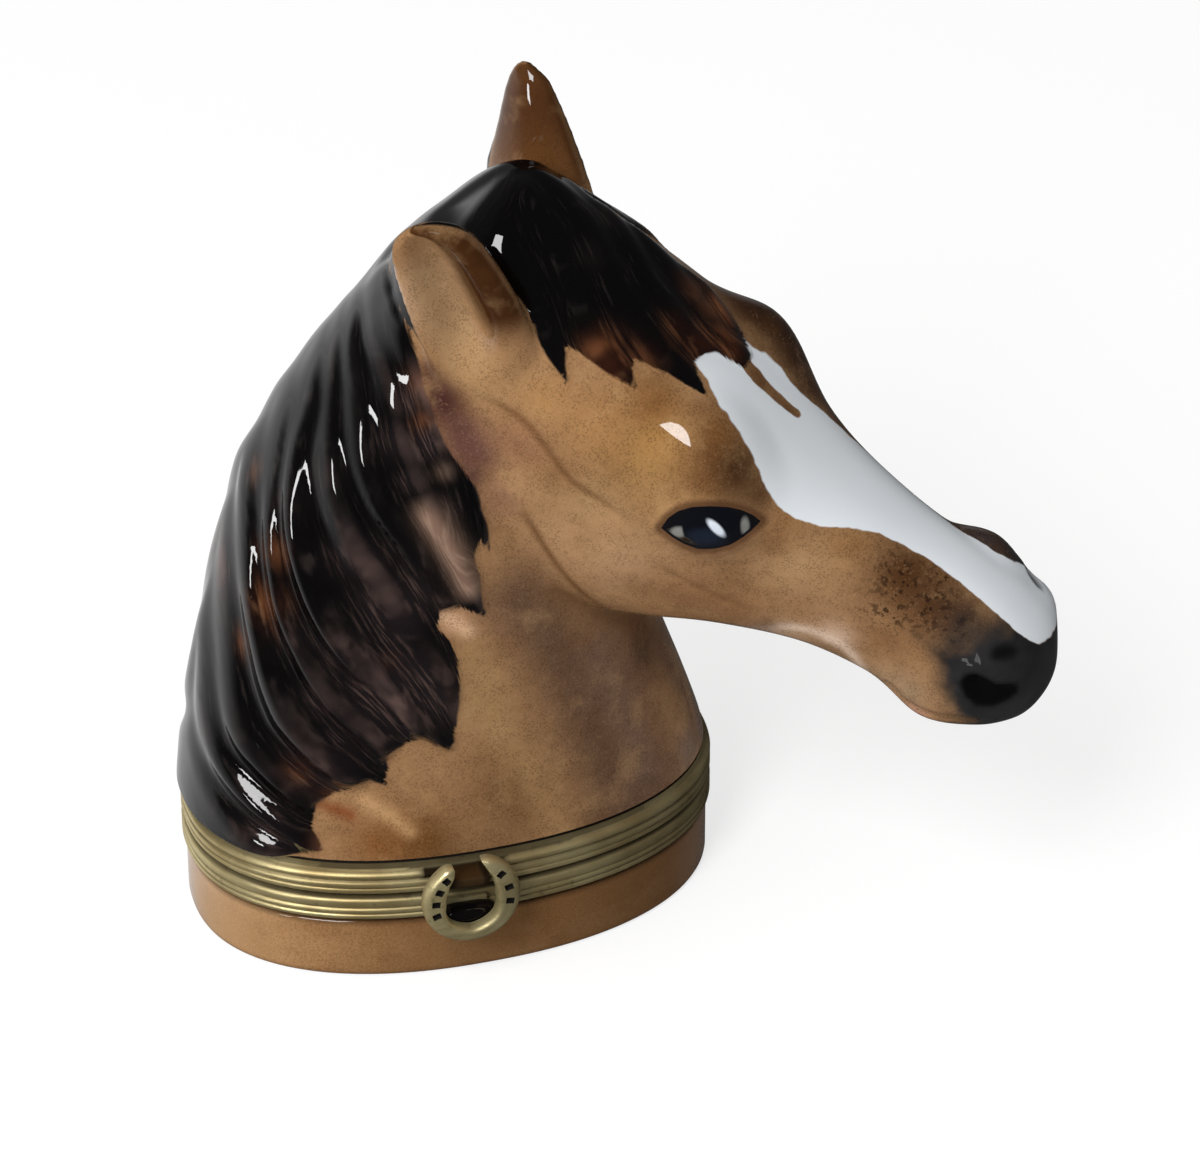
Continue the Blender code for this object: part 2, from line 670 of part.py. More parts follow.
def head_hollow():
    """The slip-cast inside: a shaft up the neck and a pocket along the skull, one wall in from the skin."""
    neck = [oval_ring(CAVITY_INSET, height, RING_STEPS) for height in (UPPER_BAND_FOOT, NECK_FOOT)]
    neck += [ring_of(neck_point, section, -HEAD_WALL) for section in raised(NECK_SECTIONS)[:-2]]
    hollow = new_cutter("neck_hollow", loft(neck))
    skull = new_cutter("skull_hollow", loft([ring_of(head_point, s, -HEAD_WALL) for s in HEAD_SECTIONS[3:9]]))
    combine(hollow, skull, "UNION")
    return hollow


def knuckle(x_from, x_to, radius):
    centre = Vector((0.0, HINGE_Y, HINGE_HEIGHT))
    return rod([(x_from, radius), (x_to, radius)], centre, (1.0, 0.0, 0.0), KNUCKLE_STEPS)


def make_hinge():
    half = HINGE_LENGTH / 2
    inner = KNUCKLE_LENGTH / 2
    outer = inner + FIT_GAP
    bore = new_cutter("hinge_bore", knuckle(-HINGE_LENGTH, HINGE_LENGTH, BORE_RADIUS))
    middle_room = new_cutter("middle_room", knuckle(-outer, outer, BARREL_RADIUS + FIT_GAP))
    outer_room = new_cutter("outer_room", joined([
        knuckle(inner, HINGE_LENGTH, BARREL_RADIUS + FIT_GAP),
        knuckle(-HINGE_LENGTH, -inner, BARREL_RADIUS + FIT_GAP),
    ]))
    leaves = {
        "hinge_leaf_upper": (UPPER_BAND_FOOT, UPPER_BAND_TOP, [(outer, half), (-half, -outer)], middle_room),
        "hinge_leaf_lower": (LOWER_BAND_FOOT, LOWER_BAND_TOP, [(-inner, inner)], outer_room),
    }
    for name, (foot, top, knuckles, room) in leaves.items():
        plate = curved_plate(-half, half, foot + LEAF_MARGIN, top - LEAF_MARGIN, FIT_GAP, LEAF_THICKNESS, 1.0)
        leaf = new_object(name, plate)
        combine(leaf, room, "DIFFERENCE")
        for index, (x_from, x_to) in enumerate(knuckles):
            body = new_cutter(name + "_knuckle_" + str(index), knuckle(x_from, x_to, BARREL_RADIUS))
            combine(leaf, body, "UNION")
        combine(leaf, bore, "DIFFERENCE")
        brass(leaf)
    head_from = half + FIT_GAP
    tip = head_from + PIN_HEAD_LENGTH
    profile = [
        (-tip, PIN_RADIUS),
        (-tip + PIN_HEAD_LENGTH / 2, PIN_HEAD_RADIUS),
        (-head_from, PIN_HEAD_RADIUS),
        (-head_from, PIN_RADIUS),
        (head_from, PIN_RADIUS),
        (head_from, PIN_HEAD_RADIUS),
        (tip - PIN_HEAD_LENGTH / 2, PIN_HEAD_RADIUS),
        (tip, PIN_RADIUS),
    ]
    centre = Vector((0.0, HINGE_Y, HINGE_HEIGHT))
    brass(new_object("hinge_pin", rod(profile, centre, (1.0, 0.0, 0.0), PIN_STEPS)))


def make_clasp():
    near_face = OVAL_WIDTH / 2
    arm_top = UPPER_BAND_TOP - LEAF_MARGIN
    arm_foot = arm_top - ARM_HEIGHT
    arm = curved_plate(
        CLASP_X - ARM_WIDTH / 2, CLASP_X + ARM_WIDTH / 2, arm_foot, arm_top, FIT_GAP, ARM_LENGTH, -1.0
    )
    brass(new_object("clasp_arm", arm))
    shoe_back = near_face + FIT_GAP + ARM_LENGTH + FIT_GAP
    shoe = new_object("horseshoe", horseshoe_body(shoe_back))
    combine(shoe, nail_holes(shoe_back), "DIFFERENCE")
    brass(shoe)
    seat_foot = BEAD_CENTRE_HEIGHT - SEAT_HEIGHT / 2
    seat = curved_plate(
        CLASP_X - SEAT_WIDTH / 2, CLASP_X + SEAT_WIDTH / 2, seat_foot, seat_foot + SEAT_HEIGHT,
        FIT_GAP, SEAT_THICKNESS, -1.0,
    )
    brass(new_object("catch_seat", seat))
    bead_back = near_face + FIT_GAP + SEAT_THICKNESS + FIT_GAP
    rings = []
    for depth, share in BEAD_PROFILE:
        ring = []
        for step in range(BEAD_STEPS):
            angle = 2.0 * math.pi * step / BEAD_STEPS
            x = CLASP_X + BEAD_WIDTH / 2 * share * math.cos(angle)
            z = BEAD_CENTRE_HEIGHT + BEAD_HEIGHT / 2 * share * math.sin(angle)
            ring.append(Vector((x, -bead_back - depth * BEAD_DEPTH, z)))
        rings.append(ring)
    bead = new_object("catch_bead", loft(rings))
    dress(bead, "black glass bead", (0.005, 0.005, 0.006), 0.05, 0.0)


def shoe_place(sweep):
    """A point on the horseshoe's middle line: the toe is at 0, the heels at plus and minus its half sweep."""
    return Vector((
        CLASP_X + SHOE_RADIUS * math.sin(sweep),
        0.0,
        SHOE_CENTRE_HEIGHT - SHOE_RADIUS * math.cos(sweep),
    ))


def horseshoe_body(back):
    rings = []
    for step in range(SHOE_STEPS + 1):
        share = 2.0 * step / SHOE_STEPS - 1.0
        sweep = share * SHOE_HALF_SWEEP
        width = SHOE_WIDTH + (SHOE_HEEL_WIDTH - SHOE_WIDTH) * share * share
        if step in (0, SHOE_STEPS):
            width = width * SHOE_HEEL_ROUNDING
        out = Vector((math.sin(sweep), 0.0, -math.cos(sweep)))
        ring = []
        for across, depth in SHOE_SECTION:
            level = Vector((0.0, -back - depth * SHOE_THICKNESS, 0.0))
            ring.append(shoe_place(sweep) + out * (across * width) + level)
        rings.append(ring)
    return loft(rings)


def nail_holes(back):
    punches = []
    for side in (-1, 1):
        for index in range(NAIL_HOLE_COUNT):
            share = index / (NAIL_HOLE_COUNT - 1)
            sweep = side * (NAIL_HOLE_FIRST + (NAIL_HOLE_LAST - NAIL_HOLE_FIRST) * share)
            centre = shoe_place(sweep) + Vector((0.0, -back, 0.0))
            profile = [(-SHOE_THICKNESS, NAIL_HOLE_RADIUS), (2 * SHOE_THICKNESS, NAIL_HOLE_RADIUS)]
            punches.append(rod(profile, centre, (0.0, -1.0, 0.0), NAIL_HOLE_STEPS))
    return new_cutter("nail_holes", joined(punches))


def hang_lid():
    """Hangs the lid's pieces on an empty that lies on the hinge's axis."""
    axis = bpy.data.objects.new("lid_axis", None)
    axis.location = (0.0, HINGE_Y, HINGE_HEIGHT)
    bpy.context.scene.collection.objects.link(axis)
    for name in LID_PIECES:
        piece = bpy.data.objects[name]
        piece.parent = axis
        piece.matrix_parent_inverse = Matrix.Translation(axis.location).inverted()


def main():
    for obj in list(bpy.data.objects):
        bpy.data.objects.remove(obj)
    make_dish()
    make_bands()
    make_head()
    make_hinge()
    make_clasp()
    hang_lid()


main()
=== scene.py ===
import math

import bmesh
import bpy
import numpy as np
from mathutils import Matrix, Vector
from mathutils.bvhtree import BVHTree
from types import SimpleNamespace


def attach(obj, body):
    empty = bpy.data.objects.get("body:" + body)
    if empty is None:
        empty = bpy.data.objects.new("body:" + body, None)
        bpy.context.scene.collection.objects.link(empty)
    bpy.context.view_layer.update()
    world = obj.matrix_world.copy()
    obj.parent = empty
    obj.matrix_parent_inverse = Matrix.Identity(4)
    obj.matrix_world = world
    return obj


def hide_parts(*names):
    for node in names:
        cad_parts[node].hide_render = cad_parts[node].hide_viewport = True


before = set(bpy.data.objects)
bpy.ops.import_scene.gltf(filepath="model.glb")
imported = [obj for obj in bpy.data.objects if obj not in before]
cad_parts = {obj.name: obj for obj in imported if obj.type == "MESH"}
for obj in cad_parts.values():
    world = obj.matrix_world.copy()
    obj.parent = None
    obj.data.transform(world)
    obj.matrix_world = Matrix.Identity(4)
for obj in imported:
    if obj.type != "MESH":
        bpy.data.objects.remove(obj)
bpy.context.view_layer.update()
mm = 0.001


# small helpers that every piece uses

def linear(r, g, b):  # a colour as seen (0-255) to the linear values that shaders take
    def one(c):
        c = c / 255.0
        return c / 12.92 if c <= 0.04045 else ((c + 0.055) / 1.055) ** 2.4
    return (one(r), one(g), one(b), 1.0)


def fullOval(turn, halfX, halfY, fullness):
    c, s = math.cos(turn), math.sin(turn)
    power = 2.0 / fullness
    return math.copysign(abs(c) ** power, c) * halfX, math.copysign(abs(s) ** power, s) * halfY


def smoothRows(rows, count):  # a table with count smooth steps from each row to the next
    last = len(rows) - 1
    made = []
    for i in range(last):
        four = (rows[max(i - 1, 0)], rows[i], rows[i + 1], rows[min(i + 2, last)])
        for t in (k / count for k in range(count)):
            made.append(tuple(
                0.5 * (2 * b + (c - a) * t + (2 * a - 5 * b + 4 * c - d) * t * t
                       + (3 * b - a - 3 * c + d) * t ** 3)
                for a, b, c, d in zip(*four)))
    made.append(tuple(rows[last]))
    return made


def rowAt(rows, value):  # the table's row at a first value
    for start, end in zip(rows, rows[1:]):
        if value <= end[0]:
            break
    t = (value - start[0]) / (end[0] - start[0])
    return tuple(a + (b - a) * t for a, b in zip(start, end))


def layRings(bm, rings):  # skins rings of equal count in an empty mesh, returns the first and the last edges
    loop = bmesh.ops.create_circle(bm, segments=len(rings[0]), radius=1.0, cap_ends=False)["verts"]
    for vert, point in zip(loop, rings[0]):
        vert.co = point
    edges = first = bm.edges[:]
    for ring in rings[1:]:
        made = bmesh.ops.extrude_edge_only(bm, edges=edges)["geom"]
        verts = [v for v in made if isinstance(v, bmesh.types.BMVert)]
        edges = [e for e in made if isinstance(e, bmesh.types.BMEdge)]
        for vert, point in zip(verts, ring):
            vert.co = point
    return first, edges


def closedBody(rings):
    bm = bmesh.new()
    layRings(bm, rings)
    bmesh.ops.holes_fill(bm, edges=bm.edges, sides=0)
    bmesh.ops.recalc_face_normals(bm, faces=bm.faces)
    return bm


def hoop(rings):  # a ring-shaped body: the last loop joins the first
    bm = bmesh.new()
    first, last = layRings(bm, rings)
    bmesh.ops.bridge_loops(bm, edges=first + last)
    bmesh.ops.recalc_face_normals(bm, faces=bm.faces)
    return bm


def gathered(bodies):
    bm = bmesh.new()
    for body in bodies:
        mesh = bpy.data.meshes.new("part")
        body.to_mesh(mesh)
        body.free()
        bm.from_mesh(mesh)
        bpy.data.meshes.remove(mesh)
    return bm


def newPiece(name, bm, material=None, smoothAngle=None):
    mesh = bpy.data.meshes.new(name)
    bm.to_mesh(mesh)
    bm.free()
    piece = bpy.data.objects.new(name, mesh)
    bpy.context.scene.collection.objects.link(piece)
    if material:
        mesh.materials.append(material)
    if smoothAngle is not None:
        mesh.shade_smooth()
        mesh.set_sharp_from_angle(angle=math.radians(smoothAngle))
    return piece


def bakeModifiers(piece):  # the piece keeps the shape that its modifiers give
    graph = bpy.context.evaluated_depsgraph_get()
    mesh = bpy.data.meshes.new_from_object(piece.evaluated_get(graph))
    piece.modifiers.clear()
    old = piece.data
    piece.data = mesh
    bpy.data.meshes.remove(old)


def cutBy(piece, bodies):  # bodies as ((mesh, material), operation)
    tools = []
    for body, operation in bodies:
        tool = newPiece("tool", body[0], body[1])
        boolean = piece.modifiers.new("cut", "BOOLEAN")
        boolean.operation = operation
        boolean.solver = "MANIFOLD"
        boolean.material_mode = "TRANSFER"
        boolean.object = tool
        tools.append(tool)
    bakeModifiers(piece)
    for tool in tools:
        bpy.data.objects.remove(tool)


def pointsOf(mesh):
    points = np.empty(len(mesh.vertices) * 3, dtype=np.float32)
    mesh.vertices.foreach_get("co", points)
    return points.reshape(-1, 3).astype(np.float64)


def normalsOf(mesh):
    normals = np.empty(len(mesh.vertices) * 3, dtype=np.float32)
    mesh.vertex_normals.foreach_get("vector", normals)
    return normals.reshape(-1, 3).astype(np.float64)


def storeOn(mesh, name, values):  # one number, three numbers or a colour for each point
    kinds = {1: ("FLOAT", "value"), 3: ("FLOAT_VECTOR", "vector"), 4: ("FLOAT_COLOR", "color")}
    width = 1 if values.ndim == 1 else values.shape[1]
    kind, slot = kinds[width]
    layer = mesh.attributes.new(name, kind, "POINT")
    layer.data.foreach_set(slot, values.astype(np.float32).ravel())


def smoothStep(low, high, values):
    t = np.clip((values - low) / (high - low), 0.0, 1.0)
    return t * t * (3.0 - 2.0 * t)


# node helpers

def feed(tree, socket, value):
    if isinstance(value, bpy.types.NodeSocket):
        tree.links.new(value, socket)
    else:
        socket.default_value = value


def addNode(tree, kind, inputs=(), **settings):  # inputs as pairs: name or number of the socket, value
    node = tree.nodes.new(kind)
    for key, value in settings.items():
        setattr(node, key, value)
    for key, value in inputs:
        feed(tree, node.inputs[key], value)
    return node


class Paint:
    def __init__(self, name, roughness, metallic=0.0):
        self.material = bpy.data.materials.new(name)
        self.material.use_nodes = True
        self.tree = self.material.node_tree
        self.shader = self.tree.nodes["Principled BSDF"]
        self.shade("Roughness", roughness)
        self.shade("Metallic", metallic)
        self.place = self.add("ShaderNodeTexCoord").outputs["Object"]

    def add(self, kind, inputs=(), **settings):
        return addNode(self.tree, kind, inputs, **settings)

    def shade(self, name, value):  # one of the shader's own sockets
        feed(self.tree, self.shader.inputs[name], value)

    def read(self, name, output="Fac"):
        return self.add("ShaderNodeAttribute", attribute_name=name).outputs[output]

    def three(self, name):  # an attribute's three numbers
        return self.parts(self.read(name, "Vector"))

    def parts(self, vector):
        return self.add("ShaderNodeSeparateXYZ", [(0, vector)]).outputs

    def join(self, x, y, z):
        return self.add("ShaderNodeCombineXYZ", enumerate((x, y, z))).outputs[0]

    def maths(self, operation, a, b=0.0, c=0.0):
        return self.add("ShaderNodeMath", enumerate((a, b, c)), operation=operation).outputs[0]

    def times(self, a, b):
        return self.maths("MULTIPLY", a, b)

    def plus(self, a, b):
        return self.maths("ADD", a, b)

    def far(self, x, y):  # how far a place is from the middle
        return self.maths("SQRT", self.plus(self.times(x, x), self.times(y, y)))

    def ramp(self, value, low, high, fromValue=0.0, toValue=1.0):  # a soft step from low to high
        numbers = enumerate((value, low, high, fromValue, toValue))
        return self.add("ShaderNodeMapRange", numbers, interpolation_type="SMOOTHSTEP").outputs[0]

    def stretch(self, scale):
        return self.add("ShaderNodeMapping", [("Vector", self.place), ("Scale", scale)]).outputs[0]

    def noise(self, scale, detail=3.0, rough=0.5, vector=None, distort=0.0):
        names = ("Vector", "Scale", "Detail", "Roughness", "Distortion")
        values = (vector or self.place, scale, detail, rough, distort)
        return self.add("ShaderNodeTexNoise", zip(names, values)).outputs["Fac"]

    def dots(self, scale, outer, inner):  # small round dots scattered over the piece
        spots = self.add("ShaderNodeTexVoronoi", [("Vector", self.place), ("Scale", scale)])
        return self.ramp(spots.outputs["Distance"], outer, inner)

    def mix(self, factor, under, over):  # each a socket, or a colour as seen (0-255)
        under, over = (linear(*tint) if isinstance(tint, tuple) else tint for tint in (under, over))
        return self.add("ShaderNodeMix", [(0, factor), (6, under), (7, over)], data_type="RGBA").outputs[2]

    def bump(self, height, distance, strength):
        inputs = [("Height", height), ("Distance", distance), ("Strength", strength)]
        self.shade("Normal", self.add("ShaderNodeBump", inputs).outputs[0])

    def glaze(self, colour, roughness=0.035, bend=1.5, cover=1.0):  # a matt colour under a clear coat
        self.shade("Base Color", colour)
        self.shade("Specular IOR Level", 0.0)
        self.shade("Coat Weight", cover)
        self.shade("Coat Roughness", roughness)
        self.shade("Coat IOR", bend)
        return self.material


# camera
view = {
    "turn": -16.4, "rise": 35.3, "aimRight": 11.54 * mm, "aimHeight": 25.9 * mm,
    "distance": 0.45, "spread": 88.2 * mm,
}
upright = Vector((0.0, 0.0, 1.0))
turn, rise = math.radians(view["turn"]), math.radians(view["rise"])
rightWay = Vector((math.cos(turn), math.sin(turn), 0.0))
backWay = Vector((math.sin(turn), -math.cos(turn), 0.0)) * math.cos(rise) + upright * math.sin(rise)
aim = rightWay * view["aimRight"] + upright * view["aimHeight"]
lens = bpy.data.cameras.new("camera")
lens.sensor_width = 36.0
lens.lens = 36.0 * view["distance"] / view["spread"]
lens.clip_start = 0.01
camera = bpy.data.objects.new("camera", lens)
camera.location = aim + backWay * view["distance"]
camera.rotation_euler = backWay.to_track_quat("Z", "Y").to_euler()
bpy.context.scene.collection.objects.link(camera)
bpy.context.scene.camera = camera

# outlines and spots of paint are given as places in the picture, 1200 wide and 1164 high, and laid on the piece
picture = {"middle": (600.0, 582.0), "scale": 1200.0 * view["distance"] / view["spread"]}
pixel = 13.6  # pixels to a millimetre, on average


def platePlaces(points):  # where each point shows in the picture
    offset = points - np.array(camera.location)
    right, up, back = (offset @ np.array(way) for way in (rightWay, backWay.cross(rightWay), backWay))
    x, y = picture["scale"] * right / -back, picture["scale"] * up / -back
    return picture["middle"][0] + x, picture["middle"][1] - y


def laidOn(tree, px, py):  # the place on a surface that shows at a place in the picture
    across, down = ((value - middle) / picture["scale"] for value, middle in zip((px, py), picture["middle"]))
    ray = (rightWay * across - backWay.cross(rightWay) * down - backWay).normalized()
    spot = tree.ray_cast(camera.location, ray)[0]
    if spot is None:  # just outside the outline: the nearest place
        steps = [camera.location + ray * (0.40 + 0.001 * k) for k in range(100)]
        spot = min((tree.find_nearest(step) for step in steps), key=lambda found: found[3])[0]
    return np.array(spot)


print("helpers ready")

# the oval that the dish, the rims and the foot of the neck share
oval = {"length": 40.2 * mm, "width": 26.6 * mm, "fullness": 2.25, "steps": 220}
levels = {"upperFoot": 7.8 * mm, "neckFoot": 10.7 * mm}


def ovalRing(inset, height, steps=None):
    steps = steps or oval["steps"]
    ring = []
    for step in range(steps):
        x, y = fullOval(2.0 * math.pi * step / steps, oval["length"] / 2, oval["width"] / 2, oval["fullness"])
        slopeX = math.copysign(abs(2 * x / oval["length"]) ** (oval["fullness"] - 1) / oval["length"], x)
        slopeY = math.copysign(abs(2 * y / oval["width"]) ** (oval["fullness"] - 1) / oval["width"], y)
        size = math.hypot(slopeX, slopeY)
        ring.append(Vector((x - slopeX / size * inset, y - slopeY / size * inset, height)))
    return ring


# the neck: height, crest end, throat end, half width, sideways shift, turn in degrees
neck = {
    "rows": [
        (7.8, -19.6, 19.6, 12.8, 0.0, 0.0), (10.7, -19.6, 19.6, 12.8, 0.0, 0.0),
        (15.5, -18.8, 18.2, 12.0, 0.0, -1.0), (22.0, -17.8, 16.0, 11.2, -0.2, -3.0),
        (29.0, -16.5, 14.0, 10.3, -0.4, -6.0), (36.0, -14.5, 12.5, 9.4, -0.6, -10.0),
        (43.0, -11.3, 11.5, 8.6, -0.8, -15.0), (50.0, -6.2, 10.5, 7.4, -1.0, -20.0),
        (55.0, -0.8, 9.0, 5.4, -1.2, -24.0), (58.0, 3.4, 7.2, 3.2, -1.4, -28.0),
    ],
    "steps": 160,
}


def neckPoint(row, turn, lift=0.0):
    height, crest, throat, half, shift = (value * mm for value in row[:5])
    spin = Matrix.Rotation(math.radians(row[5]), 4, "Z")
    x, y = fullOval(turn, (throat - crest) / 2.0, half, oval["fullness"])
    out = Vector((x, y, 0.0))
    out = out + out.normalized() * lift
    return spin @ out + Vector(((crest + throat) / 2.0, shift, height))


# the skull, in a frame whose origin is the poll: distance along the face, top, bottom, half width,
# height of the widest place, fullness of the upper and of the lower half
skull = {
    "poll": Vector((3.4, -2.4, 59.1)) * mm, "turn": -29.4, "pitch": 35.5, "tilt": 7.0,
    "rows": [
        (-2.9, -8.3, -12.8, 2.2, -10.4, 2.0, 2.0), (-2.0, -3.8, -14.9, 4.9, -9.4, 2.0, 2.0),
        (0.0, 2.8, -18.0, 7.6, -8.0, 2.1, 2.2), (6.0, 3.7, -21.5, 8.7, -8.5, 2.2, 2.5),
        (12.0, 3.5, -23.5, 9.0, -8.0, 2.4, 2.8), (18.0, 2.6, -23.8, 9.0, -6.5, 2.7, 3.0),
        (22.0, 2.0, -22.6, 9.4, -5.5, 2.8, 3.0), (27.0, 0.8, -20.0, 8.2, -5.5, 2.6, 3.0),
        (32.0, 0.0, -16.8, 6.6, -5.5, 2.4, 2.8), (38.0, -0.2, -13.6, 5.6, -5.5, 2.3, 2.5),
        (44.0, 0.0, -12.0, 5.4, -5.6, 2.3, 2.4), (48.0, -0.2, -11.6, 5.6, -5.6, 2.4, 2.4),
        (51.0, -1.0, -10.4, 5.0, -5.6, 2.3, 2.3), (53.0, -3.0, -8.6, 3.2, -5.8, 2.0, 2.0),
        (53.7, -4.4, -7.4, 1.6, -5.9, 2.0, 2.0),
    ],
    "swellings": {  # place, reach, rise, and whether only the far side has it
        "brow": ((22.5, 6.8, -0.2), (7.0, 5.0, 5.0), 1.2, False),
        "eye": ((25.5, 8.6, -4.8), (5.0, 4.0, 4.0), 0.7, False),
        "cheek": ((14.0, 8.8, -14.5), (11.0, 6.0, 9.5), 0.8, False),
        "nostril": ((49.5, 5.0, -3.0), (4.2, 4.0, 3.6), 0.8, False),
        "chin": ((47.5, 2.0, -11.2), (5.2, 6.0, 4.0), 0.8, False),
        "temple": ((15.8, 8.6, -5.0), (7.5, 5.0, 6.0), 0.7, False),
        "farNostril": ((44.6, 4.6, -2.2), (4.2, 3.4, 3.2), 1.5, True),
    },
    "steps": 140,
}
headTurn, headPitch, headTilt = (math.radians(skull[key]) for key in ("turn", "pitch", "tilt"))
ahead = Vector((math.cos(headTurn), math.sin(headTurn), 0.0))
aside = Vector((-math.sin(headTurn), math.cos(headTurn), 0.0))
faceWay = ahead * math.cos(headPitch) - upright * math.sin(headPitch)
browWay = ahead * math.sin(headPitch) + upright * math.cos(headPitch)
sideWay = aside * math.cos(headTilt) + browWay * math.sin(headTilt)
browWay = browWay * math.cos(headTilt) - aside * math.sin(headTilt)
headFrame = Matrix.Translation(skull["poll"]) @ Matrix((faceWay, sideWay, browWay)).transposed().to_4x4()


def headPoint(row, turn, lift=0.0):
    along, top, bottom, half, middle, upper, lower = row
    side, rise = fullOval(turn, half, 1.0, upper if math.sin(turn) > 0.0 else lower)
    point = Vector((along, side, middle + (top - middle if rise > 0.0 else middle - bottom) * rise))
    out = Vector((0.0, point.y, point.z - middle)).normalized()
    push = lift / mm
    for place, reach, height, farOnly in skull["swellings"].values():
        if farOnly and point.y < 0.0:
            continue
        near = sum(((v - p) / r) ** 2 for v, p, r in zip((point.x, abs(point.y), point.z), place, reach))
        push += height * max(0.0, 1.0 - near) ** 2
    return headFrame @ ((point + out * push) * mm)


def headSpot(along, degrees, lift=0.0):
    return headPoint(rowAt(skull["rows"], along), math.radians(degrees), lift)


def neckSpot(height, degrees, lift=0.0):
    return neckPoint(rowAt(neck["rows"], height), math.radians(degrees), lift)


# ears, each in its own plane: (along, across) of the two edges in mm, from the root to the tip
ear = {
    "root": Vector((7.0, -7.5, -5.0)), "tip": Vector((-3.6, -10.4, 3.6)), "looks": Vector((0.1, -1.0, 0.1)),
    "near": [
        (-3.0, -3.0, -2.0, 3.0), (-1.2, -4.2, 1.5, 3.4), (2.0, -4.6, 4.3, 3.5), (5.2, -4.6, 7.0, 3.6),
        (8.3, -4.3, 9.8, 3.4), (10.8, -3.9, 11.7, 3.1), (12.5, -3.5, 13.3, 2.5), (13.6, -3.1, 14.3, 1.3),
        (14.2, -2.6, 14.8, -0.1), (14.5, -2.0, 14.8, -1.2),
    ],
    "far": [
        (-3.0, 5.0, -3.0, -3.6), (1.0, 5.6, 0.0, -3.6), (5.7, 5.0, 4.1, -3.3), (8.8, 3.5, 8.0, -2.8),
        (10.7, 2.6, 10.1, -2.5), (12.0, 2.0, 11.6, -2.2), (13.1, 1.4, 12.8, -1.9), (13.9, 0.8, 13.5, -1.4),
        (14.4, 0.1, 14.2, -0.8),
    ],
    "back": 2.3, "front": 1.3, "hollow": 2.5, "hollowAt": -0.15, "hollowWidth": 0.5, "wall": 1.1, "steps": 72,
}


def earFrame(hand):  # the plane of an ear: where it starts, along it, across it and out of it
    flip = Vector((1.0, -hand, 1.0))
    root, tip = ear["root"] * flip, ear["tip"] * flip
    along = (tip - root).normalized()
    out = ear["looks"] * flip
    out = (out - along * out.dot(along)).normalized()
    return root, along, along.cross(out), out


def earBody(hand):
    root, along, across, out = earFrame(hand)
    table = smoothRows(ear["near" if hand < 0 else "far"], 4)
    rings = []
    for index, (a, c, a2, c2) in enumerate(table):
        share = index / (len(table) - 1)
        half = math.hypot(a2 - a, c2 - c) / 2.0
        swell = min(1.0, half / 3.6)
        cup = ear["hollow"] * float(smoothStep(0.10, 0.30, share) * smoothStep(1.0, 0.82, share))
        cup = min(cup, max(0.0, (ear["back"] + ear["front"]) * swell - ear["wall"]))
        ring = []
        for step in range(ear["steps"]):
            turn = 2.0 * math.pi * step / ear["steps"]
            u, deep = math.cos(turn), math.sin(turn)
            if deep < 0.0:
                level = ear["back"] * swell * deep
            else:
                bowl = cup * math.exp(-((u - ear["hollowAt"]) / ear["hollowWidth"]) ** 2) * deep
                level = ear["front"] * swell * deep ** 0.7 - bowl
            k = 0.5 + 0.5 * u
            flat = along * (a + (a2 - a) * k) + across * (c + (c2 - c) * k)
            ring.append(headFrame @ ((root + flat + out * level) * mm))
        rings.append(ring)
    return closedBody(rings)


def earChart(points, hand):
    # distance outside an ear's outline, way along it, way across it (-1 to 1) and height off its plane
    root, along, across, out = earFrame(hand)
    back = np.array(headFrame.inverted())
    local = (points @ back[:3, :3].T + back[:3, 3]) / mm - np.array(root)
    a, c, level = (local @ np.array(way) for way in (along, across, out))
    rows = ear["near" if hand < 0 else "far"][1:]
    outline = [(row[0], row[1]) for row in rows] + [(row[2], row[3]) for row in reversed(rows)]
    clear = insideShape(a, c, outline)
    middle = np.interp(a, [(r[0] + r[2]) / 2 for r in rows], [(r[1] + r[3]) / 2 for r in rows])
    half = np.interp(a, [(r[0] + r[2]) / 2 for r in rows], [abs(r[3] - r[1]) / 2 for r in rows])
    u = np.clip((c - middle) / np.maximum(half, 0.5), -1.0, 1.0)
    skin = ear["back"] * np.minimum(half / 3.6, 1.0) * np.sqrt(1.0 - u * u)
    clear = np.maximum(clear, np.maximum(-(level + skin + 0.3), level - 3.0))
    return clear, a, (c - middle) / np.maximum(half, 0.5) * (-hand), level


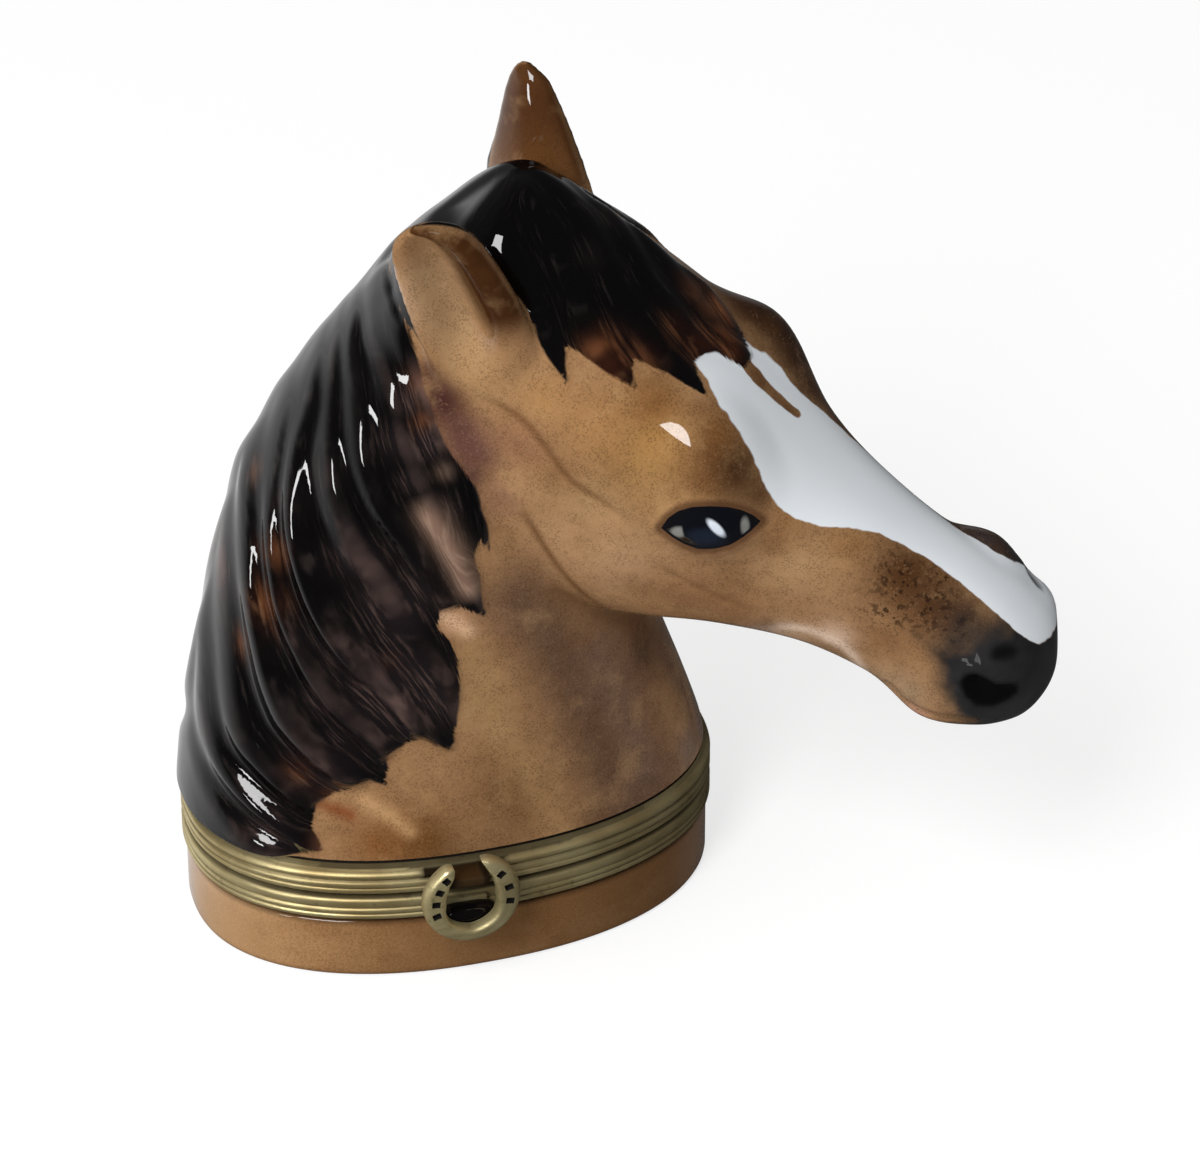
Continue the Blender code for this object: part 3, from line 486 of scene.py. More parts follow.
# strokes of hair from the root to the tip: for the mane as height and turn round the neck, for the forelock as
# distance from the poll and turn round the head
mane = {
    "strokes": [
        [(57.0, 178), (56.4, 215), (54.5, 240), (51.5, 256), (47.5, 268), (43.5, 275), (40.0, 280),
         (35.3, 282)],
        [(53.5, 175), (53.1, 209), (51.1, 241), (48.8, 255), (45.7, 266), (42.7, 272), (39.5, 275),
         (36.5, 276)],
        [(52.0, 172), (51.5, 205), (49.2, 234), (47.0, 247), (44.6, 256), (41.9, 265), (38.3, 271),
         (34.0, 276), (30.1, 279)],
        [(50.4, 172), (49.7, 199), (47.6, 223), (44.0, 239), (39.5, 253), (36.6, 263), (32.9, 269),
         (28.5, 272), (25.5, 273)],
        [(49.0, 168), (48.2, 198), (45.0, 221), (39.9, 237), (37.4, 246), (34.1, 255), (30.0, 263),
         (25.7, 268), (21.5, 269)],
        [(47.7, 168), (46.9, 180), (45.1, 206), (41.8, 212), (38.4, 218), (32.4, 232), (28.3, 243),
         (25.2, 254), (19.5, 266)],
        [(45.7, 168), (43.8, 177), (42.1, 197), (39.5, 207), (31.7, 220), (28.2, 229), (24.6, 239),
         (21.5, 249), (18.4, 257)],
        [(43.2, 166), (40.6, 172), (38.3, 182), (35.6, 200), (28.6, 214), (24.6, 221), (21.4, 230),
         (18.7, 240), (16.2, 250)],
        [(39.6, 167), (36.2, 171), (33.5, 181), (30.6, 189), (27.5, 197), (20.2, 206), (17.8, 217),
         (15.9, 228), (14.0, 241)],
        [(35.0, 167), (30.9, 167), (27.5, 173), (24.0, 182), (20.0, 189), (17.2, 198), (15.0, 211),
         (12.9, 226), (11.4, 234)],
        [(28.5, 168), (23.6, 169), (18.7, 170), (15.7, 178), (14.0, 190), (12.6, 203), (11.6, 214),
         (10.9, 226)],
    ],
    "thickness": 1.1,
    "relief": [0.4, 0.5, 0.6, 0.9, 0.7, 1.0, 0.8, 1.0, 0.7, 1.0, 0.8],  # how high each lock stands
    "calm": (36.0, 47.0),  # above these heights (mm) the hair lies smooth
}
forelock = {
    "strokes": [
        [(-0.5, 94), (1.2, 114), (3.0, 123), (5.2, 131), (6.9, 137), (8.9, 145), (11.5, 153)],
        [(0.2, 88), (2.0, 99), (4.7, 108), (7.2, 119), (9.5, 128), (11.5, 134), (14.2, 138)],
        [(1.1, 75), (3.9, 82), (7.7, 97), (11.5, 109), (14.3, 114), (17.0, 115), (19.4, 114)],
        [(2.5, 60), (6.2, 66), (10.3, 88), (14.4, 95), (17.1, 97), (18.9, 95)],
        [(3.8, 56), (6.8, 60), (10.8, 75), (15.2, 84), (18.4, 88), (21.1, 89), (23.7, 90), (26.3, 88)],
        [(4.2, 50), (8.4, 52), (11.7, 55), (14.4, 66), (16.7, 75), (18.6, 82)],
        [(1.0, 62), (4.0, 52), (7.0, 44), (10.0, 40), (12.5, 38)],
    ],
    "thickness": 0.22,
}
# the front edge of the mane, and the painted edge of the forelock, as places in the picture
hairEdge = {
    "mane": [
        (585, 196), (560, 200), (530, 215), (498, 232), (470, 236), (430, 234), (392, 243), (389, 262),
        (397, 296), (410, 335), (418, 360), (424, 385), (432, 410), (440, 432), (452, 455), (466, 474),
        (478, 492), (487, 520), (491, 553), (480, 540), (474, 556), (480, 580), (484, 600), (487, 618),
        (474, 612), (456, 606), (440, 612), (437, 628), (450, 640), (458, 660), (460, 690), (456, 720),
        (452, 752), (436, 746), (424, 738), (404, 744), (388, 758), (386, 784), (370, 780), (352, 788),
        (332, 794), (316, 804), (312, 826), (322, 850), (300, 853), (280, 858), (240, 862), (120, 880),
        (120, 120), (585, 120),
    ],
    "behindEar": [
        (386, 238), (430, 230), (484, 232), (500, 270), (528, 318), (536, 338), (500, 344), (460, 346),
        (424, 344), (404, 320), (394, 296),
    ],
    "topHalf": 4.25,  # mm to each side of the middle, where the crest's own outline counts
    "dull": [(400, 250), (430, 226), (465, 198), (500, 174), (520, 166)],  # the crest behind the ears
    "forelock": [
        (478, 235), (482, 252), (496, 272), (512, 292), (526, 318), (540, 345), (556, 370), (571, 390),
        (566, 365), (565, 345), (578, 352), (592, 362), (606, 372), (620, 380), (636, 388), (632, 372),
        (634, 358), (650, 366), (668, 374), (690, 386), (708, 397), (700, 380), (694, 362), (704, 354),
        (716, 352), (730, 360), (745, 368), (752, 356), (744, 336), (732, 316), (716, 292), (700, 272),
        (680, 250), (652, 224), (622, 200), (596, 182), (575, 150), (500, 150), (470, 180), (455, 215),
    ],
}


def strokeLine(spotAt, route):
    return np.array([tuple(spotAt(value, degrees)) for value, degrees in smoothRows(route, 4)])


def pictureLine(tree, route):  # a line drawn in the picture, laid on the piece
    return np.array([laidOn(tree, *spot) for spot in smoothRows(route, 3)])


def alongLine(points, line):  # each point's distance to the line and share of the way, and the line's length
    start, step = line[:-1], line[1:] - line[:-1]
    size = np.maximum(np.linalg.norm(step, axis=1), 1e-9)
    before = np.concatenate([[0.0], np.cumsum(size)])
    offset = points[:, None, :] - start[None, :, :]
    share = np.clip(np.einsum("ijk,jk->ij", offset, step) / size ** 2, 0.0, 1.0)
    distance = np.linalg.norm(offset - share[:, :, None] * step[None, :, :], axis=2)
    best = np.argmin(distance, axis=1)
    rows = np.arange(len(points))
    return distance[rows, best], (before[best] + share[rows, best] * size[best]) / before[-1], before[-1]


def lineClear(points, line, reach):  # mm from each point to a line (99 beyond the reach), and share of the way
    low, high = line.min(axis=0) - reach * mm, line.max(axis=0) + reach * mm
    near = np.where(np.all((points > low) & (points < high), axis=1))[0]
    clear = np.full(len(points), 99.0)
    share = np.zeros(len(points))
    if len(near):
        clear[near], share[near], length = alongLine(points[near], line)
        clear[near] /= mm
    return clear, share


def hairField(points, strokes, spotAt):
    # for each point: the number of its stroke, mm along it, mm to the nearest, and how far towards the next
    lines = [alongLine(points, strokeLine(spotAt, route)) for route in strokes]
    distance = np.stack([line[0] for line in lines]) / mm + 0.05
    way = np.stack([line[1] * line[2] for line in lines]) / mm
    weight = 1.0 / distance ** 3
    weight /= weight.sum(axis=0)
    order = np.argsort(distance, axis=0)[:2]
    rows = np.arange(len(points))
    first, second = distance[order[0], rows], distance[order[1], rows]
    number = (weight * np.arange(len(strokes))[:, None]).sum(axis=0)
    return number, (weight * way).sum(axis=0), first, first / (first + second)


def lockHeight(share):  # rounded ridges, 1 on a stroke and 0 halfway to the next
    wave = 0.5 + 0.5 * np.cos(2.0 * math.pi * share)
    return 0.5 * wave + 0.5 * (1.0 - (1.0 - wave) ** 2)


# the blaze as distance from the poll (mm) and turn (degrees), the muzzle's edge as turn and distance, the rest as
# places in the picture
face = {
    "blaze": [
        (12.0, 100), (17.0, 105), (18.9, 107), (20.2, 112), (22.2, 116), (24.0, 120), (26.0, 128), (27.1, 134),
        (28.4, 138), (30.1, 140), (32.0, 135), (33.9, 124), (36.0, 114), (38.1, 110), (40.2, 108), (42.9, 109),
        (45.3, 111), (47.7, 111), (49.2, 111), (50.4, 106), (50.9, 98), (51.2, 88), (51.5, 65), (51.5, 45),
        (51.1, 24), (49.8, 16), (48.3, 26), (47.4, 45), (46.3, 58), (44.5, 63), (41.0, 59), (38.0, 53),
        (36.0, 50), (34.0, 50), (32.5, 54), (31.1, 60), (29.0, 68), (26.5, 76), (24.8, 78), (22.6, 80),
        (20.9, 82), (12.0, 84),
    ],
    "muzzle": [
        (110, 47.0), (123, 46.4), (143, 45.2), (157, 44.7), (168, 44.5), (174, 45.5), (182, 46.6), (193, 48.3),
        (207, 50.2),
    ],
    "brownLock": [(738, 352), (748, 366), (760, 380), (776, 396), (790, 408), (797, 413)],
    "eye": [
        (661, 528), (668, 518), (678, 511), (692, 507), (710, 506), (728, 507), (742, 510), (753, 515),
        (761, 521), (752, 530), (742, 538), (730, 545), (714, 549), (698, 549), (684, 544), (672, 537),
    ],
    "lids": [  # route, rise and width in mm
        ([(652, 528), (664, 515), (680, 506), (700, 501), (722, 501), (744, 506), (762, 515)], 0.22, 0.4),
        ([(664, 536), (680, 548), (702, 555), (724, 552), (742, 544), (758, 533)], 0.14, 0.35),
    ],
    "creases": [  # route, width and depth in mm, and strength of the brown line
        ([(470, 392), (500, 406), (527, 425), (548, 452), (570, 481), (598, 500), (622, 515),
          (648, 528)], 0.5, 0.16, 0.8),
        ([(517, 500), (535, 533), (556, 565), (580, 592), (606, 610)], 0.5, 0.12, 0.9),
        ([(645, 556), (668, 570), (690, 583), (720, 597), (752, 609), (768, 613)], 0.5, 0.05, 0.35),
    ],
    "jaw": [(556, 590), (590, 606), (630, 622), (670, 632), (710, 635), (745, 632), (768, 625)],
    "nostrilPit": [
        (959, 683), (964, 675), (975, 673), (986, 678), (997, 684), (1008, 684), (1018, 683), (1019, 692),
        (1008, 701), (993, 707), (977, 706), (965, 697),
    ],
    "upperPit": [
        (989, 657), (992, 647), (1003, 642), (1015, 643), (1021, 650), (1016, 659), (1004, 662), (993, 661),
    ],
    "dusting": [((900, 580), 30), ((930, 606), 30), ((945, 575), 16), ((890, 612), 24), ((955, 630), 18)],
    "mouth": [(890, 686), (900, 698), (914, 708), (930, 715), (948, 719), (975, 721)],
}
# soft patches of paint: place and reach in the picture, then the colour and its strength;
# a few are painted light and shade, as marked
coat = {
    "ground": (146, 110, 76),
    "patches": [
        ((640, 478), 60, (146, 110, 68), 0.8), ((655, 440), 34, (156, 116, 66), 0.8),
        ((600, 425), 34, (150, 108, 64), 0.7), ((655, 402), 26, (120, 80, 42), 0.8),
        ((715, 455), 28, (100, 64, 32), 0.75), ((735, 470), 34, (50, 27, 10), 0.95),
        ((762, 494), 20, (66, 40, 20), 0.8), ((718, 425), 26, (112, 74, 38), 0.85),
        ((700, 486), 24, (112, 76, 42), 0.6), ((590, 505), 40, (158, 124, 86), 0.8),
        ((620, 562), 50, (166, 130, 96), 0.9), ((556, 470), 26, (140, 102, 70), 0.6),
        ((520, 440), 26, (140, 100, 74), 0.7), ((468, 446), 30, (92, 58, 54), 0.9),
        ((444, 404), 26, (70, 38, 36), 0.95), ((470, 478), 18, (74, 46, 44), 0.85),
        ((500, 500), 22, (134, 98, 76), 0.8), ((690, 600), 50, (134, 96, 64), 0.9),
        ((740, 612), 24, (128, 90, 58), 0.8), ((640, 622), 34, (122, 84, 56), 0.8),
        ((560, 540), 30, (164, 127, 92), 0.8), ((800, 556), 50, (168, 133, 96), 0.9),
        ((790, 520), 26, (140, 98, 60), 0.7), ((850, 540), 30, (136, 96, 58), 0.8),
        # (780, 634) here and (835, 636) further down are pale under the jaw: a painted reflection of the floor
        ((840, 612), 34, (152, 117, 84), 0.8), ((780, 634), 30, (186, 154, 124), 0.9),
        ((905, 575), 38, (64, 36, 14), 0.95), ((935, 605), 36, (70, 44, 24), 0.95),
        ((965, 622), 26, (50, 36, 30), 0.95), ((885, 640), 30, (120, 86, 56), 0.8),
        ((905, 690), 28, (150, 124, 96), 0.9), ((880, 676), 24, (160, 128, 98), 0.8),
        ((915, 716), 14, (186, 140, 122), 0.9), ((775, 545), 20, (120, 84, 52), 0.7),
        ((835, 636), 18, (196, 168, 146), 0.8), ((655, 770), 30, (98, 74, 62), 0.85),
        # (640, 656) here and (690, 640) below darken the neck under the jaw: painted shadow
        ((690, 750), 26, (122, 102, 92), 0.9), ((640, 656), 40, (74, 52, 38), 0.95),
        ((690, 640), 34, (70, 48, 34), 0.9), ((470, 700), 40, (150, 116, 80), 0.9),
        ((520, 790), 46, (94, 64, 36), 0.9), ((420, 840), 40, (96, 60, 24), 0.9),
        ((380, 845), 30, (122, 80, 42), 0.9), ((500, 620), 30, (150, 112, 80), 0.8),
        ((454, 622), 14, (196, 150, 116), 0.9), ((425, 290), 46, (164, 130, 96), 0.95),
        ((480, 370), 34, (158, 122, 84), 0.9), ((545, 400), 26, (160, 120, 76), 0.8),
        ((410, 300), 30, (168, 134, 104), 0.9), ((600, 830), 40, (100, 72, 48), 0.8),
        ((760, 380), 22, (88, 56, 30), 0.9), ((788, 406), 20, (88, 56, 30), 0.9),
        ((430, 374), 18, (66, 36, 32), 0.9), ((442, 400), 18, (62, 34, 32), 0.9),
        ((462, 428), 17, (84, 54, 50), 0.8), ((482, 456), 14, (92, 62, 56), 0.7),
    ],
    "washes": [  # broad strokes of the brush, three of them painted light and shade, as marked
        # down from under the jaw: partly a brush stroke, partly painted shadow of the jaw
        ([(520, 600), (556, 650), (590, 720), (620, 790), (640, 840)], 42, (90, 67, 52), 0.9),
        ([(600, 650), (636, 730), (660, 800)], 26, (100, 79, 68), 0.7),
        ([(600, 620), (640, 690), (668, 770), (690, 820)], 18, (118, 88, 66), 0.55),
        ([(470, 650), (500, 720), (536, 790), (560, 840)], 20, (152, 118, 80), 0.7),
        # darkens the neck's right edge: painted shade
        ([(660, 650), (690, 700), (706, 745)], 16, (96, 66, 48), 0.7),
        ([(436, 615), (448, 618), (468, 632)], 7, (206, 168, 134), 0.8),
        ([(364, 800), (384, 812), (410, 832)], 8, (196, 154, 108), 0.6),
        ([(312, 800), (328, 806), (350, 815)], 8, (120, 66, 36), 0.9),
        # the pale strip under the jaw: painted reflection of the floor
        ([(752, 630), (785, 627), (815, 632), (845, 648), (862, 668)], 8, (214, 188, 166), 0.8),
    ],
    # the colour that the far side of the face is darkened towards: painted shade
    "farSideShade": (76, 45, 22),
    # painted shade on the far brow and the far side of the face; (985, 535) and (1015, 560) are the far nostril's
    # own grey
    "farPatches": [
        ((790, 335), 40, (38, 19, 6), 0.95), ((745, 305), 34, (60, 32, 14), 0.9),
        ((812, 385), 34, (56, 30, 14), 0.9), ((764, 312), 34, (44, 22, 8), 0.9),
        ((800, 362), 26, (46, 24, 10), 0.9), ((842, 418), 24, (58, 33, 16), 0.8),
        ((880, 450), 40, (70, 44, 26), 0.9), ((985, 535), 26, (58, 52, 52), 0.95),
        ((1015, 560), 18, (34, 32, 36), 0.95),
    ],
}
head = {
    "cell": 0.3 * mm, "passes": 12, "afterPasses": 2, "lockPasses": 14, "innerSteps": 96, "wall": 2.6 * mm,
    "rimInset": 1.6 * mm, "cavityInset": 3.2 * mm, "rimFoot": 8.6 * mm, "rimOverlap": 1.6 * mm,
}


def headChart(points):
    # distance along the face in mm, turn in degrees, and the turn seen from the near side
    back = np.array(headFrame.inverted())
    local = (points @ back[:3, :3].T + back[:3, 3]) / mm
    rows = np.array(smoothRows(skull["rows"], 4))
    s = local[:, 0]
    top, bottom, half, middle, upper, lower = (np.interp(s, rows[:, 0], rows[:, k]) for k in range(1, 7))
    rise = local[:, 2] - middle
    reach = np.where(rise > 0, top - middle, middle - bottom)
    power = np.where(rise > 0, upper, lower) / 2.0
    c = np.sign(local[:, 1]) * np.abs(local[:, 1] / half) ** power
    d = np.sign(rise) * np.abs(rise / reach) ** power
    turn = np.degrees(np.arctan2(d, c)) % 360.0
    nearTurn = np.degrees(np.arctan2(d, -np.abs(c))) % 360.0
    return s, turn, nearTurn


def insideShape(x, y, corners):  # distance to an outline, less than nothing inside it
    inside = np.zeros(len(x), dtype=bool)
    distance = np.full(len(x), 9e9)
    for (ax, ay), (bx, by) in zip(corners, corners[1:] + corners[:1]):
        dx, dy = bx - ax, by - ay
        share = np.clip(((x - ax) * dx + (y - ay) * dy) / (dx * dx + dy * dy), 0.0, 1.0)
        distance = np.minimum(distance, np.hypot(x - ax - share * dx, y - ay - share * dy))
        crosses = ((ay > y) != (by > y)) & (x < (bx - ax) * (y - ay) / (by - ay + 1e-9) + ax)
        inside ^= crosses
    return np.where(inside, -distance, distance)


def nearPoints(points):
    # every point brought to the near side of the head or the neck, and how far it is past the middle (mm)
    back, there = np.array(headFrame.inverted()), np.array(headFrame)
    local = points @ back[:3, :3].T + back[:3, 3]
    headSide = local[:, 1].copy()
    local[:, 1] = -local[:, 1]
    headOther = local @ there[:3, :3].T + there[:3, 3]
    rows = np.array(neck["rows"])
    z = points[:, 2] / mm
    crest, throat, half, shift, twist = (np.interp(z, rows[:, 0], rows[:, k]) for k in range(1, 6))
    c, s = np.cos(np.radians(twist)), np.sin(np.radians(twist))
    x, y = points[:, 0] - (crest + throat) / 2.0 * mm, points[:, 1] - shift * mm
    u, v = x * c + y * s, -x * s + y * c
    neckOther = points.copy()
    neckOther[:, 0] = (crest + throat) / 2.0 * mm + u * c + v * s
    neckOther[:, 1] = shift * mm + u * s - v * c
    onHead = np.maximum(smoothStep(44.0, 54.0, z), smoothStep(12.0, 20.0, points[:, 0] / mm))
    side = v * (1 - onHead) + headSide * onHead
    other = neckOther * (1 - onHead)[:, None] + headOther * onHead[:, None]
    return np.where((side > 0)[:, None], other, points), side / mm


def coatPaint(paint):
    colour = earPaint(paint, paint.read("coat", "Color"))
    # fine brush stipple and mottling
    mottle = paint.noise(260.0, 4.0, 0.6)
    crowd = paint.ramp(paint.noise(900.0, 2.0), 0.35, 0.6)
    colour = paint.mix(paint.ramp(mottle, 0.48, 0.75, 0.0, 0.3), colour, (96, 64, 34))
    colour = paint.mix(paint.ramp(mottle, 0.5, 0.3, 0.0, 0.2), colour, (190, 152, 108))
    specks = paint.times(paint.dots(5600.0, 0.62, 0.12), paint.maths("MULTIPLY_ADD", crowd, 0.34, 0.12))
    colour = paint.mix(specks, colour, (58, 36, 18))
    specks = paint.times(paint.dots(4300.0, 0.5, 0.1), paint.maths("MULTIPLY_ADD", crowd, -0.1, 0.1))
    offEar = paint.ramp(paint.three("earAt")[2], 0.0, 0.5)
    colour = paint.mix(paint.times(specks, offEar), colour, (214, 176, 132))
    # dark specks where the nose was dusted
    dust = paint.ramp(paint.noise(2000.0, 3.0, 0.6), 0.52, 0.59)
    colour = paint.mix(paint.times(dust, paint.read("dusting")), colour, (34, 20, 10))
    # creases and the jaw's edge drawn with a thin brown line, partly painted shade in the grooves
    edges = paint.three("edges")
    colour = paint.mix(paint.times(edges[2], 0.9), colour, (84, 52, 24))
    # the blaze
    wobble = paint.maths("MULTIPLY_ADD", paint.noise(700.0, 2.0), 0.6, -0.3)
    blaze = paint.ramp(paint.plus(edges[0], wobble), 0.1, -0.1)
    colour = paint.mix(blaze, colour, paint.mix(paint.noise(90.0, 2.0), (231, 235, 238), (219, 224, 229)))
    # the dark muzzle
    fray = paint.maths("MULTIPLY_ADD", paint.noise(600.0, 3.0), 3.2, -1.6)
    muzzle = paint.ramp(paint.plus(edges[1], fray), -2.6, 1.8)
    muzzle = paint.times(muzzle, paint.maths("SUBTRACT", 1.0, blaze))
    colour = paint.mix(muzzle, colour, paint.mix(paint.noise(420.0, 3.0), (13, 13, 13), (48, 47, 48)))
    return paint.mix(paint.ramp(paint.read("pits"), 0.1, 0.9), colour, (4, 4, 5))


def eyePaint(paint, colour):
    at = paint.three("eyeAt")

    def disc(x, y, wide, high, soft):
        dx = paint.maths("DIVIDE", paint.plus(at[0], -x), wide)
        dy = paint.maths("DIVIDE", paint.plus(at[1], -y), high)
        return paint.ramp(paint.far(dx, dy), 1.0 + soft, 1.0 - soft)

    # a dark brown lid line round the eye, spread out as painted shade around it
    lidLineAndShade = paint.ramp(paint.maths("ABSOLUTE", paint.plus(at[2], -1.5)), 8.0, 1.0, 0.0, 0.75)
    colour = paint.mix(lidLineAndShade, colour, (74, 46, 28))
    colour = paint.mix(paint.ramp(at[2], 0.6, -0.6), colour, (12, 12, 16))
    # pale corners, then the iris over them
    corners = paint.maths("MAXIMUM", disc(679, 532, 8.5, 5.0, 0.45), disc(745, 526, 4.2, 8.5, 0.45))
    colour = paint.mix(paint.times(paint.ramp(at[2], -2.0, -3.2), corners), colour, (126, 126, 122))
    iris = paint.times(paint.ramp(at[2], -0.8, -1.8), disc(711, 527, 29, 24, 0.05))
    colour = paint.mix(iris, colour, (9, 11, 17))
    # the iris a little lighter low down: a painted glint
    colour = paint.mix(paint.times(iris, disc(706, 537, 18, 8, 0.6)), colour, (24, 31, 44))
    # the painted glint, a slanting oval
    dx, dy = paint.plus(at[0], -716), paint.plus(at[1], -528)
    long = paint.maths("DIVIDE", paint.plus(paint.times(dx, 0.72), paint.times(dy, 0.69)), 12.0)
    wide = paint.maths("DIVIDE", paint.maths("SUBTRACT", paint.times(dy, 0.72), paint.times(dx, 0.69)), 4.6)
    return paint.mix(paint.ramp(paint.far(long, wide), 1.25, 0.6), colour, (214, 222, 232))


def earPaint(paint, colour):
    across, along, clear = paint.three("earAt")
    # a dark band along the front edge inside the ear: painted shade
    rim = paint.times(paint.ramp(across, 0.0, 0.35), paint.ramp(along, 2.5, 6.0))
    base = paint.mix(rim, colour, (60, 33, 12))
    bowl = paint.ramp(paint.maths("ABSOLUTE", paint.plus(across, 0.35)), 0.5, 0.2)
    bowl = paint.times(bowl, paint.times(paint.ramp(along, 0.5, 4.0), paint.ramp(along, 13.5, 9.0)))
    base = paint.mix(paint.times(bowl, 0.8), base, (166, 133, 96))
    dark = paint.mix(paint.ramp(along, 4.0, 11.0), (112, 74, 40), (74, 44, 22))
    base = paint.mix(paint.read("earBack"), base, dark)
    return paint.mix(paint.ramp(clear, 0.15, -0.25), colour, base)


def hairPaint(paint, colour):
    clear, along, number = paint.three("hair")
    tone = paint.three("hairTone")
    flow = paint.join(paint.times(along, 0.06), paint.times(number, 1.6), 0.0)
    streak = paint.noise(2.2, 3.0, 0.6, flow, 0.1)
    fine = paint.noise(6.0, 2.0, 0.5, flow, 0.1)
    # the tops of the locks painted lighter and the hollows between them near black: painted reflection on the
    # ridges, painted shade in the hollows
    ridge = paint.plus(paint.read("ridge"), paint.maths("MULTIPLY_ADD", streak, 1.6, -0.8))
    crest = paint.ramp(ridge, 0.45, 1.1)
    body = paint.mix(paint.times(crest, 0.5), (5, 4, 5), (50, 42, 41))
    body = paint.mix(paint.ramp(fine, 0.56, 0.74, 0.0, 0.2), body, (70, 60, 58))
    chestnut = paint.mix(paint.ramp(streak, 0.4, 0.6), (46, 20, 10), (112, 68, 42))
    chestnut = paint.mix(paint.ramp(fine, 0.5, 0.7, 0.0, 0.4), chestnut, (164, 116, 78))
    mauve = paint.mix(crest, (34, 27, 28), (108, 86, 80))
    mauve = paint.mix(paint.ramp(fine, 0.45, 0.7, 0.0, 0.35), mauve, (132, 106, 96))
    skin = paint.mix(paint.ramp(fine, 0.4, 0.65), (142, 112, 95), (168, 138, 118))
    for share, over in zip(tone, (chestnut, mauve, skin)):
        body = paint.mix(share, body, over)
    fray = paint.maths("MULTIPLY_ADD", fine, 0.6, -0.3)
    return paint.mix(paint.ramp(paint.plus(clear, fray), 0.12, -0.12), colour, body)


def headMaterial():
    paint = Paint("painted glaze", 0.4)
    colour = eyePaint(paint, coatPaint(paint))
    onEar = paint.ramp(paint.three("earAt")[2], 0.3, -0.1)
    colour = paint.mix(onEar, hairPaint(paint, colour), colour)
    return paint.glaze(colour, cover=paint.maths("MULTIPLY_ADD", paint.read("dull"), -0.9, 1.0))


def whiteGlaze():
    paint = Paint("white glaze inside", 0.35)
    return paint.glaze(paint.mix(paint.noise(180.0, 3.0), (226, 224, 216), (214, 211, 202)), 0.08)


innerGlaze = whiteGlaze()


# streaks along the locks: route in the picture, reach, kind (2 bare skin), strength
hairStreaks = [
    ([(418, 490), (434, 520), (452, 550), (466, 578), (474, 604)], 13, 2, 0.95),
    ([(392, 520), (410, 556), (436, 596), (462, 630)], 7, 1, 0.8),
    ([(352, 560), (372, 610), (404, 660), (440, 704)], 7, 1, 0.8),
    ([(300, 640), (330, 700), (372, 748), (414, 784)], 7, 1, 0.8),
    ([(254, 460), (248, 520), (262, 590), (284, 650)], 7, 0, 0.7),
]


# places in the picture, reach, kind (0 chestnut, 1 mauve grey), strength
hairTones = [
    ((400, 690), 56, 1, 0.75), ((330, 760), 40, 1, 0.4), ((270, 830), 34, 1, 0.45), ((350, 650), 34, 1, 0.5),
    ((400, 600), 40, 1, 0.7), ((270, 600), 20, 0, 0.7), ((280, 550), 16, 0, 0.6), ((262, 470), 14, 0, 0.5),
    ((330, 845), 16, 0, 0.8), ((345, 812), 16, 0, 0.8), ((330, 800), 14, 0, 0.4), ((400, 630), 16, 1, 0.7),
    ((474, 584), 10, 2, 0.4), ((436, 510), 16, 1, 0.8), ((410, 480), 14, 1, 0.5), ((430, 700), 28, 1, 0.8),
    ((370, 560), 26, 1, 0.55), ((320, 700), 20, 1, 0.5), ((425, 390), 18, 0, 0.6), ((390, 660), 10, 0, 0.4),
    ((430, 650), 12, 1, 0.6), ((230, 560), 24, 1, 0.6), ((300, 770), 14, 0, 0.4), ((380, 700), 14, 1, 0.4),
    ((612, 366), 16, 0, 0.8), ((640, 362), 20, 0, 0.4), ((600, 350), 18, 0, 0.9), ((676, 330), 18, 0, 0.4),
    ((700, 346), 20, 0, 0.85), ((730, 345), 22, 0, 0.9), ((590, 255), 14, 1, 0.2), ((414, 398), 18, 1, 0.8),
    ((432, 440), 18, 1, 0.85), ((444, 470), 9, 2, 0.25), ((424, 420), 12, 0, 0.6), ((400, 440), 20, 1, 0.5),
    ((350, 560), 22, 1, 0.4), ((300, 640), 22, 1, 0.4), ((250, 640), 16, 0, 0.5), ((290, 500), 18, 1, 0.4),
    ((330, 470), 16, 1, 0.3),
]


def chartOf(points):  # where each point lies on the head, in the picture and in the hair
    near, side = nearPoints(points)
    px, py = platePlaces(near)
    own = platePlaces(points)
    s, turn, nearTurn = headChart(points)
    maneClear = np.minimum(*(insideShape(px, py, hairEdge[name]) / pixel for name in ("mane", "behindEar")))
    onTop = np.abs(side) < hairEdge["topHalf"]
    maneClear = np.where(onTop, np.minimum(maneClear, insideShape(*own, hairEdge["mane"]) / pixel), maneClear)
    lockClear = np.where((side < 4.0) & (s < 26), insideShape(*own, hairEdge["forelock"]) / pixel, 9.0)
    field = hairField(near, mane["strokes"], neckSpot)
    lockField = hairField(points, forelock["strokes"], headSpot)
    farField = hairField(points, forelock["strokes"][5:], headSpot)
    lockClear = np.minimum(lockClear, farField[2] - 2.0 * smoothStep(13.0, 8.0, s))
    onLock = smoothStep(-1.0, 1.0, s) * smoothStep(1.5, 0.0, lockClear)
    return SimpleNamespace(near=near, side=side, px=px, py=py, s=s, turn=turn, nearTurn=nearTurn, onLock=onLock,
                           hairClear=np.minimum(maneClear, lockClear), field=field, lockField=lockField)


def softSpot(tree, points, place, reach, power=2):  # 1 at a place in the picture, fading over a reach in pixels
    away = np.linalg.norm(points - laidOn(tree, *place), axis=1) / mm * pixel
    return np.exp(-(away / reach) ** power)


def drawn(tree, points, route, reach=3.0):  # mm from a line in the picture, and the share of the way along it
    return lineClear(points, pictureLine(tree, route), reach)


def bump(away, width):
    return np.exp(-(away / width) ** 2)


def ends(share, first, last):  # fades in over the first part of a line and out after the last
    return smoothStep(0.0, first, share) * smoothStep(1.0, last, share)


